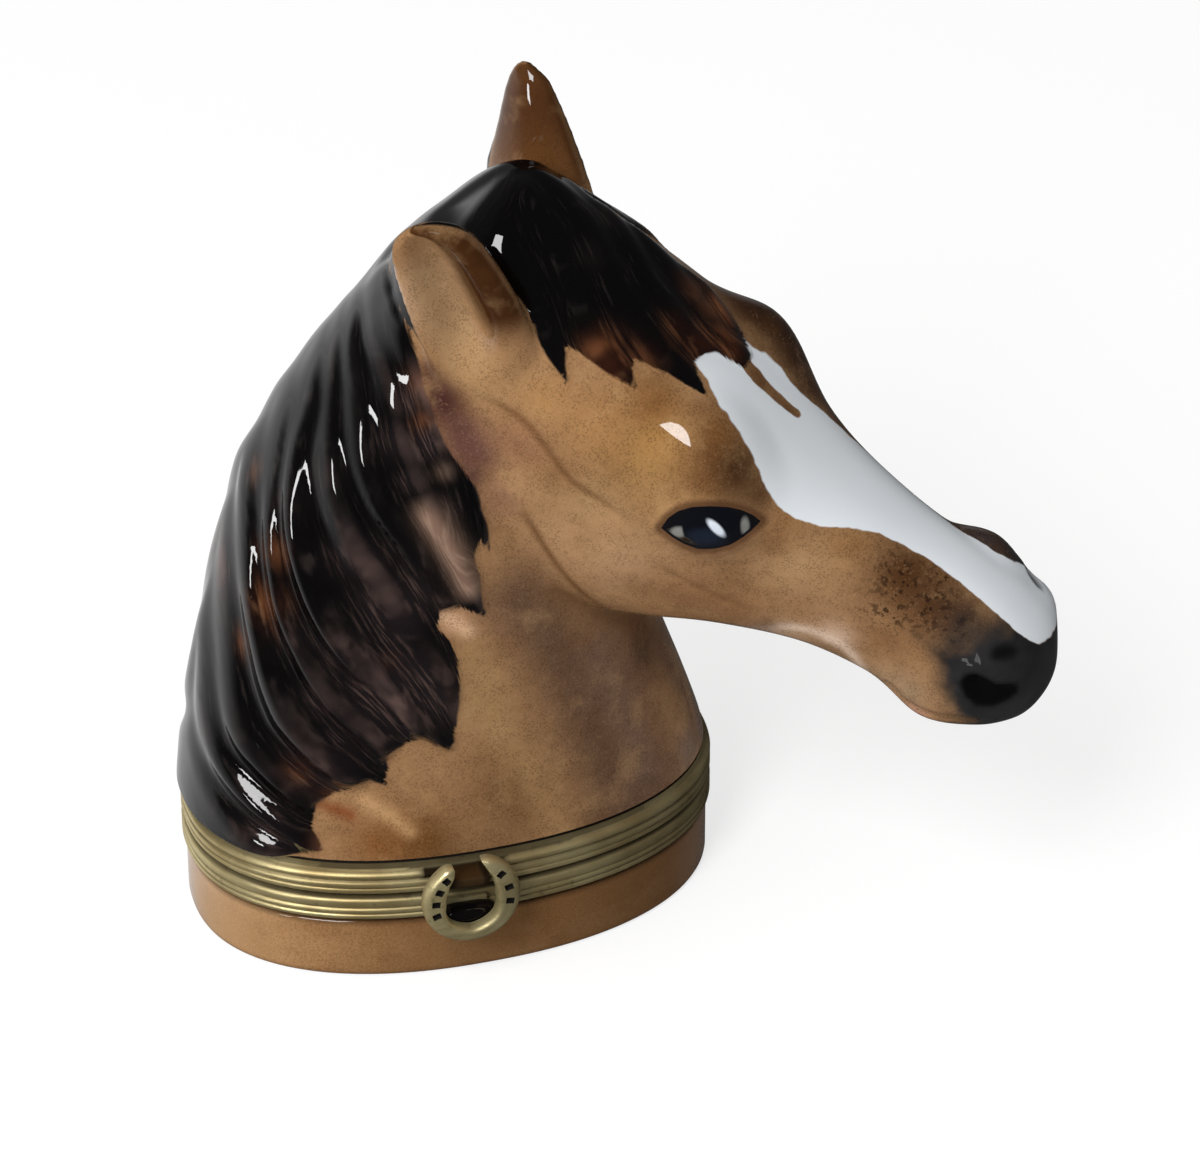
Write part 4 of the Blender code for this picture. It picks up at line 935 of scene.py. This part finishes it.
def tinted(ground, colour, share):
    return ground * (1 - share[:, None]) + np.array(linear(*colour)) * share[:, None]


def softened(piece, passes, group=""):
    soft = piece.modifiers.new("soft", "SMOOTH")
    soft.iterations = passes
    soft.factor = 0.5
    soft.vertex_group = group


def rounds(pointAt, rows, count, lift=0.0):  # a ring of points for each row of a table
    turns = [2.0 * math.pi * k / count for k in range(count)]
    return [[pointAt(row, turn, lift) for turn in turns] for row in rows]


def joinHead():
    bodies = [closedBody(rounds(pointAt, smoothRows(shape["rows"], 6), shape["steps"]))
              for pointAt, shape in ((neckPoint, neck), (headPoint, skull))]
    piece = newPiece("porcelainHead", gathered(bodies + [earBody(1.0), earBody(-1.0)]))
    skin = piece.modifiers.new("skin", "REMESH")
    skin.mode = "VOXEL"
    skin.voxel_size = head["cell"]
    softened(piece, head["passes"])
    bakeModifiers(piece)
    print("head joined", len(piece.data.vertices))
    return piece


def layRelief(piece, tree):  # hair, lids, creases, nostrils and mouth, as a push along the normal in mm
    points, normals = pointsOf(piece.data), normalsOf(piece.data)
    at = chartOf(points)
    offEar = smoothStep(0.0, 0.8, np.minimum(*(earChart(points, hand)[0] for hand in (-1.0, 1.0))))
    edge = smoothStep(0.15, -0.7, at.hairClear)
    fade = smoothStep(2.0, 8.0, np.abs(at.side)) * 0.75 + 0.25  # the crest is smoother than the sides
    stands = np.interp(at.field[0], np.arange(len(mane["relief"])), mane["relief"])
    stands *= 1.0 - 0.8 * smoothStep(*mane["calm"], points[:, 2] / mm)
    ridges = mane["thickness"] * stands * (fade * lockHeight(at.field[3]) + 0.6 * (1 - fade))
    ridges = ridges * (1 - at.onLock) + forelock["thickness"] * lockHeight(at.lockField[3]) * at.onLock
    push = (ridges + 0.25) * edge * offEar
    push += 0.30 * smoothStep(0.1, -1.3, insideShape(at.px, at.py, face["eye"]) / pixel)
    for route, rise, width in face["lids"]:
        push += rise * bump(drawn(tree, at.near, route)[0], width)
    for route, width, depth, ink in face["creases"]:
        away, share = drawn(tree, at.near, route, 4.0)
        push -= depth * bump(away, width) * ends(share, 0.2, 0.75)
    nostril = insideShape(at.px, at.py, face["nostrilPit"]) / pixel
    push -= 0.75 * smoothStep(0.1, -0.7, nostril)
    push += 0.12 * bump(nostril - 0.45, 0.5)
    push -= 0.25 * smoothStep(0.1, -0.5, insideShape(at.px, at.py, face["upperPit"]) / pixel)
    push -= 0.4 * bump(drawn(tree, at.near, face["mouth"])[0], 0.4)
    points += normals * (push * mm)[:, None]
    piece.data.vertices.foreach_set("co", points.astype(np.float32).ravel())
    piece.data.update()
    locks = piece.vertex_groups.new(name="locks")
    for level in range(1, 11):
        locks.add(np.where(np.floor(edge * 10.0 + 0.5) == level)[0].tolist(), level / 10.0, "REPLACE")
    softened(piece, head["afterPasses"])
    softened(piece, head["lockPasses"], "locks")
    bakeModifiers(piece)
    print("head relief laid")


def hollowHead(piece):  # hollow, and the rim that the upper band holds
    foot, count = levels["neckFoot"], head["innerSteps"]
    under = bmesh.new()
    bmesh.ops.create_cube(under, size=1.0)
    bmesh.ops.scale(under, vec=(0.1, 0.1, foot), verts=under.verts)
    bmesh.ops.translate(under, vec=(0.0, 0.0, foot / 2), verts=under.verts)
    rim = closedBody([ovalRing(head["rimInset"], z) for z in (head["rimFoot"], foot + head["rimOverlap"])])
    shaft = [ovalRing(head["cavityInset"], z, count) for z in (levels["upperFoot"], foot)]
    shaft += rounds(neckPoint, smoothRows(neck["rows"][2:8], 4), count, -head["wall"])
    pocket = rounds(headPoint, smoothRows(skull["rows"][3:9], 4), count, -head["wall"])
    hollows = [((closedBody(rings), innerGlaze), "DIFFERENCE") for rings in (shaft, pocket)]
    cutBy(piece, [((under, None), "DIFFERENCE"), ((rim, innerGlaze), "UNION")] + hollows)
    print("head hollowed", len(piece.data.vertices))


def groundOf(points, at, tree):  # the coat's colour at each point
    ground = np.tile(np.array(linear(*coat["ground"])), (len(points), 1))
    for place, reach, colour, strength in coat["patches"]:
        ground = tinted(ground, colour, strength * softSpot(tree, at.near, place, reach))
    for route, reach, colour, strength in coat["washes"]:
        ground = tinted(ground, colour, strength * bump(drawn(tree, at.near, route, 9.0)[0] * pixel, reach))
    # the far side of the face darkened: painted shade
    level = (at.turn + 180.0) % 360.0 - 180.0
    share = 0.85 * smoothStep(72.0, 50.0, level) * smoothStep(-35.0, 15.0, level)
    share *= smoothStep(8.0, 14.0, at.s) * smoothStep(0.5, 2.0, at.side)
    ground = tinted(ground, coat["farSideShade"], share)
    for place, reach, colour, strength in coat["farPatches"]:
        ground = tinted(ground, colour, strength * softSpot(tree, points, place, reach))
    return ground


def layPaint(piece, tree):  # what the head's material reads
    mesh = piece.data
    points, normals = pointsOf(mesh), normalsOf(mesh)
    at = chartOf(points)
    spread = at.onLock[:, None]
    own, lock = (np.stack([field[1], field[0] + start, lockHeight(field[3]) * height], axis=1)
                 for field, start, height in ((at.field, 0.0, 1.0), (at.lockField, 4.0, 0.3)))
    strands = own * (1 - spread) + lock * spread
    tone = np.zeros((len(points), 3))
    for place, reach, kind, strength in hairTones:
        tone[:, kind] = np.maximum(tone[:, kind], strength * softSpot(tree, at.near, place, reach))
    for route, reach, kind, strength in hairStreaks:
        away, share = drawn(tree, at.near, route)
        tone[:, kind] = np.maximum(tone[:, kind], strength * ends(share, 0.25, 0.8) * bump(away * pixel, reach))
    squash = 0.13  # mm to a degree of turn
    blaze = insideShape(at.s, at.turn * squash, [(a, b * squash) for a, b in face["blaze"]])
    away, share = drawn(tree, points, face["brownLock"])
    blaze = np.maximum(blaze, 0.75 - 0.35 * share - away)
    # a brown line on the jaw's edge and on each crease: partly a drawn line, partly painted shade
    creases = 0.6 * bump(drawn(tree, at.near, face["jaw"], 4.0)[0], 1.0)
    for route, width, depth, ink in face["creases"]:
        away, share = drawn(tree, at.near, route)
        creases = np.maximum(creases, ink * bump(away, 0.32) * ends(share, 0.2, 0.7))
    pits = bump(drawn(tree, at.near, face["mouth"])[0], 0.35)
    for name, soft, strength in (("nostrilPit", 0.5, 1.0), ("upperPit", 0.6, 0.7)):
        inside = insideShape(at.px, at.py, face[name]) / pixel
        pits = np.maximum(pits, strength * smoothStep(soft, -soft, inside))
    dusting = np.zeros(len(points))
    for place, reach in face["dusting"]:
        dusting = np.maximum(dusting, 0.85 * softSpot(tree, at.near, place, reach))
    dull = np.exp(-(drawn(tree, points, hairEdge["dull"], 9.0)[0] * pixel / 26.0) ** 4)
    dull = np.maximum(dull, softSpot(tree, points, (968, 658), 26.0, 4))
    ears = [earChart(points, hand) for hand in (-1.0, 1.0)]
    facing = [normals @ np.array(headFrame.to_3x3() @ earFrame(hand)[3]) for hand in (-1.0, 1.0)]
    useFar = ears[1][0] < ears[0][0]
    clear, along, across = (np.where(useFar, far, near) for near, far in zip(ears[0][:3], ears[1][:3]))
    stored = {
        "coat": groundOf(points, at, tree),
        "edges": np.stack([blaze, at.s - np.interp(at.nearTurn, *zip(*face["muzzle"])), creases], axis=1),
        "hair": np.stack([at.hairClear, strands[:, 0], strands[:, 1]], axis=1),
        "ridge": strands[:, 2], "hairTone": tone, "dull": dull, "pits": pits, "dusting": dusting,
        "earAt": np.stack([across, along, clear], axis=1),
        "earBack": smoothStep(-0.25, -0.7, np.where(useFar, facing[1], facing[0])),
        "eyeAt": np.stack([at.px, at.py, insideShape(at.px, at.py, face["eye"])], axis=1),
    }
    for name, values in stored.items():
        storeOn(mesh, name, values)
    print("head painted")


def makeHead():
    piece = joinHead()
    bm = bmesh.new()
    bm.from_mesh(piece.data)
    tree = BVHTree.FromBMesh(bm)
    bm.free()
    layRelief(piece, tree)
    piece.data.materials.append(headMaterial())
    hollowHead(piece)
    layPaint(piece, tree)
    piece.data.shade_smooth()
    piece.data.set_sharp_from_angle(angle=math.radians(50))
    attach(piece, "lid")
    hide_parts("lid_head")


# dish: profiles as (inset, height) in mm
dish = {
    "foot": [(4.0, 0.35), (2.4, 0.35), (2.1, 0.25), (1.9, 0.0)], "edge": 0.3, "footRound": 0.5, "waist": 2.0,
    "top": 5.2, "topRound": 0.25, "rimInset": 1.6, "rimTop": 6.7,
    "cavityInset": 3.2, "bowlTop": 3.2, "bowlRound": 1.4,
    "washes": [  # along x: from, to (mm), strength, colour; painted light and shade, partly own tone: lighter left, darker right
        (-16.0, -3.0, 0.6, (100, 68, 36)), (-2.0, 14.0, 0.5, (78, 54, 32)),
        (-13.0, -19.0, 0.45, (192, 156, 114)), (14.0, 19.5, 0.55, (136, 112, 96)),
    ],
    # darker just under the band and towards the foot: painted shade
    "edges": [(4.6, 5.3, 0.7, (58, 38, 22)), (0.8, 0.1, 0.5, (92, 62, 40))],  # the same, upwards
}


def roundCorner(inset, height, size, start, steps):  # a quarter round from start degrees
    turns = [math.radians(start + 90.0 * k / steps) for k in range(steps + 1)]
    return [(inset - size * math.cos(turn), height + size * math.sin(turn)) for turn in turns]


def dishPaint():
    paint = Paint("painted dish", 0.4)
    soft, mottle = paint.noise(110.0, 3.0), paint.noise(420.0, 4.0, 0.6)
    sweep = paint.noise(1.0, 3.0, 0.5, paint.stretch((60.0, 60.0, 260.0)))
    colour = paint.mix(paint.ramp(soft, 0.35, 0.65), (156, 118, 80), (136, 98, 62))
    colour = paint.mix(paint.ramp(sweep, 0.5, 0.75, 0.0, 0.5), colour, (178, 142, 106))
    colour = paint.mix(paint.ramp(mottle, 0.5, 0.75, 0.0, 0.4), colour, (104, 70, 42))
    colour = paint.mix(paint.times(paint.dots(5200.0, 0.6, 0.12), 0.34), colour, (66, 42, 24))
    colour = paint.mix(paint.times(paint.dots(4300.0, 0.5, 0.1), 0.14), colour, (206, 172, 130))
    along, depth, height = paint.parts(paint.place)
    # painted light and shade along the dish, under the band and at the foot
    for way, washes in ((along, dish["washes"]), (height, dish["edges"])):
        for low, high, strength, tint in washes:
            colour = paint.mix(paint.ramp(way, low * mm, high * mm, 0.0, strength), colour, tint)
    return paint.glaze(colour)


def insideDish(point):  # within the rim, seen from above
    clear = dish["rimInset"] + 0.1
    halfX, halfY = oval["length"] / 2 - clear * mm, oval["width"] / 2 - clear * mm
    reach = abs(point.x / halfX) ** oval["fullness"] + abs(point.y / halfY) ** oval["fullness"]
    return reach < 1.0 and point.z > 1.0 * mm


def makeDish():
    edge, top, size, bowl = dish["edge"], dish["top"], dish["topRound"], dish["bowlRound"]
    rows = dish["foot"] + roundCorner(edge + dish["footRound"], dish["footRound"], dish["footRound"], -90.0, 5)
    rows += [(edge, dish["waist"]), (edge, top - size)] + roundCorner(edge + size, top - size, size, 0.0, 4)
    rows += [(dish["rimInset"], top), (dish["rimInset"], dish["rimTop"]), (dish["cavityInset"], dish["rimTop"])]
    inset, low = dish["cavityInset"], dish["bowlTop"]
    for turn in (math.radians(degrees) for degrees in (0, 22, 45, 67, 90)):
        rows.append((inset + bowl * (1.0 - math.cos(turn)), low - bowl * math.sin(turn)))
    bm = closedBody([ovalRing(inset * mm, height * mm) for inset, height in rows])
    for side in bm.faces:
        middle = side.calc_center_median()
        under = middle.z < 0.36 * mm and abs(side.normal.z) > 0.9
        side.material_index = 1 if under or insideDish(middle) else 0
    piece = newPiece("porcelainDish", bm, dishPaint(), 35)
    piece.data.materials.append(innerGlaze)
    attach(piece, "base")
    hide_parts("base_dish")


# antique brass
def brassPaint(name, light, deep, worn=0.5):
    paint = Paint(name, 0.4, 1.0)
    broad, fine = paint.noise(160.0, 3.0, 0.6), paint.noise(1400.0, 3.0, 0.6)
    around = paint.noise(1.0, 3.0, 0.6, paint.stretch((130.0, 130.0, 2600.0)))
    shadeAndPatina = paint.read("shadeAndPatina")
    colour = paint.mix(paint.ramp(broad, 0.35, 0.7), light, deep)
    colour = paint.mix(paint.ramp(around, 0.5, 0.75, 0.0, worn), colour, (116, 96, 54))
    colour = paint.mix(paint.ramp(fine, 0.6, 0.75, 0.0, 0.4), colour, (84, 66, 34))
    # dark where the brass is tarnished in its hollows and where shade is painted
    paint.shade("Base Color", paint.mix(shadeAndPatina, colour, (30, 21, 9)))
    paint.shade("Roughness", paint.plus(paint.ramp(around, 0.3, 0.8, 0.34, 0.5), paint.times(shadeAndPatina, 0.3)))
    paint.shade("Metallic", paint.ramp(shadeAndPatina, 0.4, 1.0, 0.8, 0.0))
    paint.shade("Specular IOR Level", paint.ramp(shadeAndPatina, 0.4, 1.0, 0.5, 0.05))
    paint.bump(paint.plus(paint.times(fine, 0.5), around), 0.00003, 0.5)
    return paint.material


brassBand = brassPaint("antique brass band", (214, 198, 148), (180, 160, 112))
brassCast = brassPaint("antique brass castings", (240, 226, 174), (208, 188, 134), 0.3)


def finishBrass(piece, node, body, shadeAndPatina=None):  # last argument: how dark each point is, tarnish and painted shade
    placed = pointsOf(piece.data)
    storeOn(piece.data, "shadeAndPatina", shadeAndPatina(placed) if shadeAndPatina else np.zeros(len(placed)))
    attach(piece, body)
    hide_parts(node)


# each bezel from its outer foot to its top and round the inside, as (inset, height) in mm, its beads as
# (from, to, depth) and its dark grooves as (height, width, strength)
bands = {
    "lower": {
        "start": [(0.3, 5.5)], "beads": [(5.55, 6.05, 0.16), (6.05, 6.55, 0.16), (6.6, 7.34, 0.12)],
        "end": [(0.26, 7.42), (0.45, 7.5), (2.7, 7.5), (2.7, 7.0), (0.6, 7.0), (0.6, 5.5)],
        "grooves": [(5.5, 0.06, 1.0), (6.05, 0.05, 0.85), (6.58, 0.05, 0.7), (7.46, 0.09, 1.0)],
    },
    "upper": {
        "start": [(0.45, 7.8), (0.25, 7.86)],
        "beads": [(7.96, 8.42, 0.10), (8.42, 8.96, 0.12), (9.1, 9.78, 0.30)],
        "end": [(0.5, 9.86), (0.56, 9.95), (0.56, 10.4), (0.6, 10.4), (0.6, 8.3), (2.7, 8.3), (2.7, 7.8)],
        "grooves": [(7.84, 0.10, 1.0), (8.42, 0.04, 0.5), (9.03, 0.09, 0.95), (10.1, 0.26, 1.0)],
    },
    "steps": 260, "beadSteps": 6,
}


def makeBand(name, facts, node, body):
    rows, count = list(facts["start"]), bands["beadSteps"]
    for low, high, depth in facts["beads"]:
        for k in range(count + 1):
            rows.append((depth * (1.0 - math.sin(math.pi * k / count) ** 0.7), low + (high - low) * k / count))
    rows += facts["end"]

    # tarnish in the grooves between the beads; painted shade at the foot, the parting, the top recess, towards
    # the right and behind the clasp; dark on the inner faces
    def patinaAndShade(placed):  # dark in the grooves, at the parting, at the right, behind the clasp and inside
        x, y, heights = (placed / mm).T
        # darker towards the right: painted shade
        shadeAndPatina = 0.45 * smoothStep(2.0, 15.0, x)
        for level, width, strength in facts["grooves"]:
            shadeAndPatina = np.maximum(shadeAndPatina, strength * bump(heights - level, width))
        # painted shadow of the clasp on the upper band
        behind = smoothStep(3.7, 3.0, np.abs(x + 2.2)) * smoothStep(8.75, 9.1, heights) * (y < 0.0)
        ways = ((x, oval["length"]), (y, oval["width"]))
        out = sum(np.abs(way * 2 * mm / size) ** oval["fullness"] for way, size in ways)
        return np.where(out < 0.92, 0.85, np.maximum(shadeAndPatina, behind))

    bm = hoop([ovalRing(inset * mm, height * mm, bands["steps"]) for inset, height in rows])
    finishBrass(newPiece(name, bm, brassBand, 60), node, body, patinaAndShade)


def makeBands():
    makeBand("lowerBezel", bands["lower"], "lower_band", "base")
    makeBand("upperBezel", bands["upper"], "upper_band", "lid")
    cement = Paint("dark cement", 0.85)
    grit = cement.noise(1800.0, 3.0)
    cement.shade("Base Color", cement.mix(grit, (30, 24, 18), (52, 42, 32)))
    cement.bump(grit, 0.00005, 0.6)
    for name in ("lower_cement", "upper_cement"):
        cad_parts[name].data.materials.clear()
        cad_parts[name].data.materials.append(cement.material)


# clasp: a horseshoe on a short arm, which snaps over a dark bead; sizes in mm
clasp = {
    "x": -2.35, "face": 13.3,
    "shoeOut": 1.9, "shoeHeight": 8.75, "outerRadius": 3.7, "thickness": 1.0, "steps": 64,
    # turn from the toe, width of the branch
    "widths": [(0.0, 1.05), (40.0, 1.25), (85.0, 1.8), (120.0, 1.7), (150.0, 1.15), (168.0, 0.5)],
    "section": [  # across, out: half of it, the other half is its mirror image
        (-0.5, 0.0), (-0.5, 0.45), (-0.46, 0.72), (-0.36, 0.92), (-0.22, 1.0), (-0.06, 0.97),
    ],
    "sweep": (-156.0, 167.0), "holes": [-139.0, -118.0, -96.0, -74.0, 80.0, 106.0, 134.0], "holeSize": 0.66,
    "beadHeight": 5.75, "beadSize": (4.9, 2.2, 2.6),
    "arm": (1.6, 9.4, 10.1, 1.95), "seat": (1.7, 4.9, 7.3, 0.5),  # half width, foot, top, thickness
}


def facePlace(x, out, height):  # a place on the near long side, out from the widest line of the oval
    return Vector((clasp["x"] + x, -clasp["face"] - out, height)) * mm


def shoePlace(turn, reach, deep):  # turn from the toe, distance from the middle, way out
    height = clasp["shoeHeight"] - math.cos(turn) * reach
    return facePlace(math.sin(turn) * reach, clasp["shoeOut"] + deep * clasp["thickness"], height)


def branchAt(turn):  # the middle line's radius and the branch's width
    width = float(np.interp(abs(math.degrees(turn)), *zip(*clasp["widths"])))
    return clasp["outerRadius"] - width / 2.0, width


def shoeBody():
    rings = []
    section = clasp["section"] + [(-across, deep) for across, deep in reversed(clasp["section"])]
    for step in range(clasp["steps"] + 1):
        share = 2.0 * step / clasp["steps"] - 1.0
        turn = math.radians(clasp["sweep"][0] * (1.0 - share) + clasp["sweep"][1] * (1.0 + share)) / 2.0
        middle, width = branchAt(turn)
        closing = max(0.0, abs(share) - 0.93) / 0.07
        width *= math.sqrt(max(0.08, 1.0 - closing ** 2))
        low = 1.0 - 0.3 * closing ** 3
        rings.append([shoePlace(turn, middle + across * width, deep * low) for across, deep in section])
    return closedBody(rings)


def nailHole(turn):  # a small square punch
    bm = bmesh.new()
    bmesh.ops.create_cube(bm, size=clasp["holeSize"] * mm)
    bmesh.ops.scale(bm, vec=(0.95, 1.0, 0.8), verts=bm.verts)
    bmesh.ops.rotate(bm, cent=(0, 0, 0), matrix=Matrix.Rotation(math.pi / 2 - turn, 3, "Y"), verts=bm.verts)
    bmesh.ops.translate(bm, vec=shoePlace(turn, branchAt(turn)[0], 1.0), verts=bm.verts)
    return bm


def sidePlate(x0, x1, foot, top, outset, thickness, steps=16):  # a plate that follows the near long side
    rings = []
    corners = ((outset, foot), (outset + thickness, foot), (outset + thickness, top), (outset, top))
    for step in range(steps + 1):
        x = (x0 + (x1 - x0) * step / steps) * mm
        share = abs(x) / (oval["length"] / 2)
        y = oval["width"] / 2 * (1.0 - share ** oval["fullness"]) ** (1.0 / oval["fullness"])
        rings.append([Vector((x, -y - out * mm, z * mm)) for out, z in corners])
    return closedBody(rings)


def softEdges(bm, size):
    sharp = [edge for edge in bm.edges if edge.is_manifold and edge.calc_face_angle(0.0) > math.radians(40.0)]
    bmesh.ops.bevel(bm, geom=sharp, offset=size * mm, segments=2, profile=0.5, affect="EDGES", material=-1,
                    clamp_overlap=True)
    return bm


def claspPlate(half, foot, top, thickness, size):
    return softEdges(sidePlate(clasp["x"] - half, clasp["x"] + half, foot, top, 0.0, thickness), size)


def makeShoe():
    shoe = newPiece("horseshoePull", shoeBody(), brassCast)
    dark = Paint("hole patina", 0.7)
    dark.shade("Base Color", dark.mix(dark.noise(2500.0), (8, 5, 3), (20, 14, 8)))
    cutBy(shoe, [((nailHole(math.radians(angle)), dark.material), "DIFFERENCE") for angle in clasp["holes"]])
    shoe.data.shade_smooth()
    shoe.data.set_sharp_from_angle(angle=math.radians(40))

    def shoeShade(p):  # painted shade: darker low down and at the right, and on the sides
        x, y, height = (p / mm).T
        low = 0.5 * smoothStep(-1.0, 3.0, x - clasp["x"]) * smoothStep(11.8, 8.5, height)
        return np.maximum(low + 0.3 * smoothStep(7.5, 5.0, height), 0.6 * smoothStep(15.9, 15.3, -y))

    finishBrass(shoe, "horseshoe", "lid", shoeShade)


def makeBead():
    bm = bmesh.new()
    bmesh.ops.create_uvsphere(bm, u_segments=48, v_segments=24, radius=1.0)
    for vert in bm.verts:  # squarer than an egg
        vert.co.x = math.copysign(abs(vert.co.x) ** 0.7, vert.co.x)
        vert.co.z = math.copysign(abs(vert.co.z) ** 0.7, vert.co.z)
    bmesh.ops.scale(bm, vec=[size / 2 * mm for size in clasp["beadSize"]], verts=bm.verts)
    bmesh.ops.translate(bm, vec=facePlace(0.0, 0.7, clasp["beadHeight"]), verts=bm.verts)
    paint = Paint("black glass", 0.3)
    glass = paint.glaze(paint.mix(paint.noise(300.0), (6, 5, 6), (16, 12, 12)), 0.03, 1.35)
    bead = newPiece("blackBead", bm, glass, 60)
    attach(bead, "base")
    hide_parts("catch_bead")


def makeClasp():
    makeShoe()
    # the arm painted as brass in shade, and near black at its sides behind the heels: painted shade
    shadedArmPaint = brassPaint("shaded brass arm", (112, 86, 54), (80, 58, 34))
    arm = newPiece("claspArm", claspPlate(*clasp["arm"], 0.15), shadedArmPaint, 40)
    away = np.abs(pointsOf(arm.data)[:, 0] / mm - clasp["x"])
    finishBrass(arm, "clasp_arm", "lid", lambda p: 0.3 + 0.7 * smoothStep(0.8, 1.1, away))
    seat = newPiece("catchSeat", claspPlate(*clasp["seat"], 0.1), brassCast, 40)
    finishBrass(seat, "catch_seat", "base", lambda p: np.full(len(p), 0.5))
    makeBead()


# hinge at the far long side, in mm
hinge = {
    "y": 14.9, "height": 7.65, "length": 10.0, "radius": 1.3, "bore": 0.62, "round": 0.12,
    "knuckle": 3.1333, "gap": 0.3,
    "pin": [(5.3, 0.5), (5.3, 1.0), (5.45, 0.95), (5.62, 0.7), (5.7, 0.35)],  # each end: along, radius
}


def turned(rows, steps):  # rings round the hinge's axis, from (along, radius)
    def place(row, turn, lift):
        x, r = row
        return Vector((x, hinge["y"] + r * math.cos(turn), hinge["height"] + r * math.sin(turn))) * mm

    return rounds(place, rows, steps)


def tube(x0, x1):
    radius, bore, soft = hinge["radius"], hinge["bore"], hinge["round"]
    rows = [(x0, bore), (x0, radius - soft), (x0 + soft, radius)]
    rows += [(x1 - soft, radius), (x1, radius - soft), (x1, bore)]
    return hoop(turned(rows, 48))


def leafPlate(x0, x1, foot, top):
    bm = sidePlate(x0, x1, foot, top, 0.02, 0.78)
    bmesh.ops.scale(bm, vec=(1.0, -1.0, 1.0), verts=bm.verts)
    bmesh.ops.recalc_face_normals(bm, faces=bm.faces)
    return softEdges(bm, 0.08)


def makeHinge():
    inner = hinge["knuckle"] / 2
    outer, half = inner + hinge["gap"], hinge["length"] / 2
    upper = gathered([tube(outer, half), tube(-half, -outer), leafPlate(outer, half, 8.3, 10.1),
                      leafPlate(-half, -outer, 8.3, 10.1), leafPlate(-half, half, 9.15, 10.1)])
    lower = gathered([tube(-inner, inner), leafPlate(-inner, inner, 5.8, 7.1),
                      leafPlate(-half, half, 5.8, 6.3)])
    finishBrass(newPiece("hingeUpper", upper, brassCast, 40), "hinge_leaf_upper", "lid")
    finishBrass(newPiece("hingeLower", lower, brassCast, 40), "hinge_leaf_lower", "base")
    pin = closedBody(turned([(-x, r) for x, r in reversed(hinge["pin"])] + hinge["pin"], 32))
    finishBrass(newPiece("hingePin", pin, brassCast, 40), "hinge_pin", "base")


makeHead()
makeDish()
makeBands()
print("dish and bands made")
makeClasp()
makeHinge()
print("clasp and hinge made")

# light
lamps = [  # name, place, size, power, and what it doesn't light
    ("window", (-0.34, -0.42, 0.58), (0.24, 0.40), 4.2, ""),
    ("side", (-0.75, -0.15, 0.34), (0.6, 0.6), 3.0, "visible_glossy"),
    ("strip", (-0.62, -0.47, 0.19), (0.09, 0.15), 0.8, "visible_diffuse"),
]
for name, place, size, power, without in lamps:
    lamp = bpy.data.lights.new(name, "AREA")
    lamp.shape = "RECTANGLE"
    lamp.size, lamp.size_y = size
    lamp.energy = power
    stand = bpy.data.objects.new(name, lamp)
    stand.location = place
    stand.rotation_euler = (Vector(place) - Vector((0.0, 0.0, 0.03))).to_track_quat("Z", "Y").to_euler()
    bpy.context.scene.collection.objects.link(stand)
    if without:
        setattr(stand, without, False)

# what glaze and brass mirror: dim on the camera's side, bright behind and at the left
mirrored = {
    "front": (0.6, -0.8, 0.0), "dim": 0.05, "horizon": 0.85, "above": 0.08, "floor": 0.75, "dusk": 0.32,
    "near": -0.15, "far": -0.9,  # where it turns from dim to bright
}
world = bpy.data.worlds.new("studio")
world.use_nodes = True
bpy.context.scene.world = world


def ranged(tree, value, low, high, fromValue, toValue):
    inputs = enumerate((value, low, high, fromValue, toValue))
    return addNode(tree, "ShaderNodeMapRange", inputs, interpolation_type="SMOOTHSTEP").outputs[0]


def between(tree, factor, first, second):
    return addNode(tree, "ShaderNodeMix", [(0, factor), (2, first), (3, second)]).outputs[0]


def towards(tree, vector):
    inputs = [(0, vector), (1, mirrored["front"])]
    return addNode(tree, "ShaderNodeVectorMath", inputs, operation="DOT_PRODUCT").outputs["Value"]


tree = world.node_tree
rays = addNode(tree, "ShaderNodeLightPath").outputs
sky = addNode(tree, "ShaderNodeTexCoord").outputs["Generated"]
height = addNode(tree, "ShaderNodeSeparateXYZ", [(0, sky)]).outputs[2]
dusk = ranged(tree, height, 0.0, mirrored["dusk"], mirrored["horizon"], mirrored["above"])
bright = ranged(tree, towards(tree, sky), mirrored["near"], mirrored["far"], 0.0, 1.0)
soft = between(tree, rays["Is Glossy Ray"], 0.32, between(tree, bright, mirrored["dim"], dusk))
background = tree.nodes["Background"].inputs
feed(tree, background["Strength"], between(tree, rays["Is Camera Ray"], soft, 1.0))
feed(tree, background["Color"], (1.0, 1.0, 1.0, 1.0))

# the floor: white to the camera, and to gloss the same dim and bright sides as the sky
paint = Paint("pale floor", 0.9)
paint.shade("Base Color", (0.85, 0.85, 0.85, 1.0))
rays = paint.add("ShaderNodeLightPath").outputs
glow = paint.add("ShaderNodeEmission", [("Strength", 1.2)]).outputs[0]
seen = [(0, paint.times(rays["Is Camera Ray"], 0.6)), (1, paint.shader.outputs[0]), (2, glow)]
outward = paint.add("ShaderNodeVectorMath", [(0, paint.place)], operation="NORMALIZE").outputs["Vector"]
sheen = ranged(paint.tree, towards(paint.tree, outward), mirrored["near"], mirrored["far"], mirrored["dim"],
               mirrored["floor"])
gloss = paint.add("ShaderNodeEmission", [("Strength", sheen)]).outputs[0]
both = [(0, rays["Is Glossy Ray"]), (1, paint.add("ShaderNodeMixShader", seen).outputs[0]), (2, gloss)]
surface = paint.add("ShaderNodeMixShader", both).outputs[0]
feed(paint.tree, paint.tree.nodes["Material Output"].inputs["Surface"], surface)
bm = bmesh.new()
bmesh.ops.create_grid(bm, x_segments=1, y_segments=1, size=3.0)
floor = newPiece("floor", bm, paint.material)

bpy.context.scene.view_settings.view_transform = "Standard"
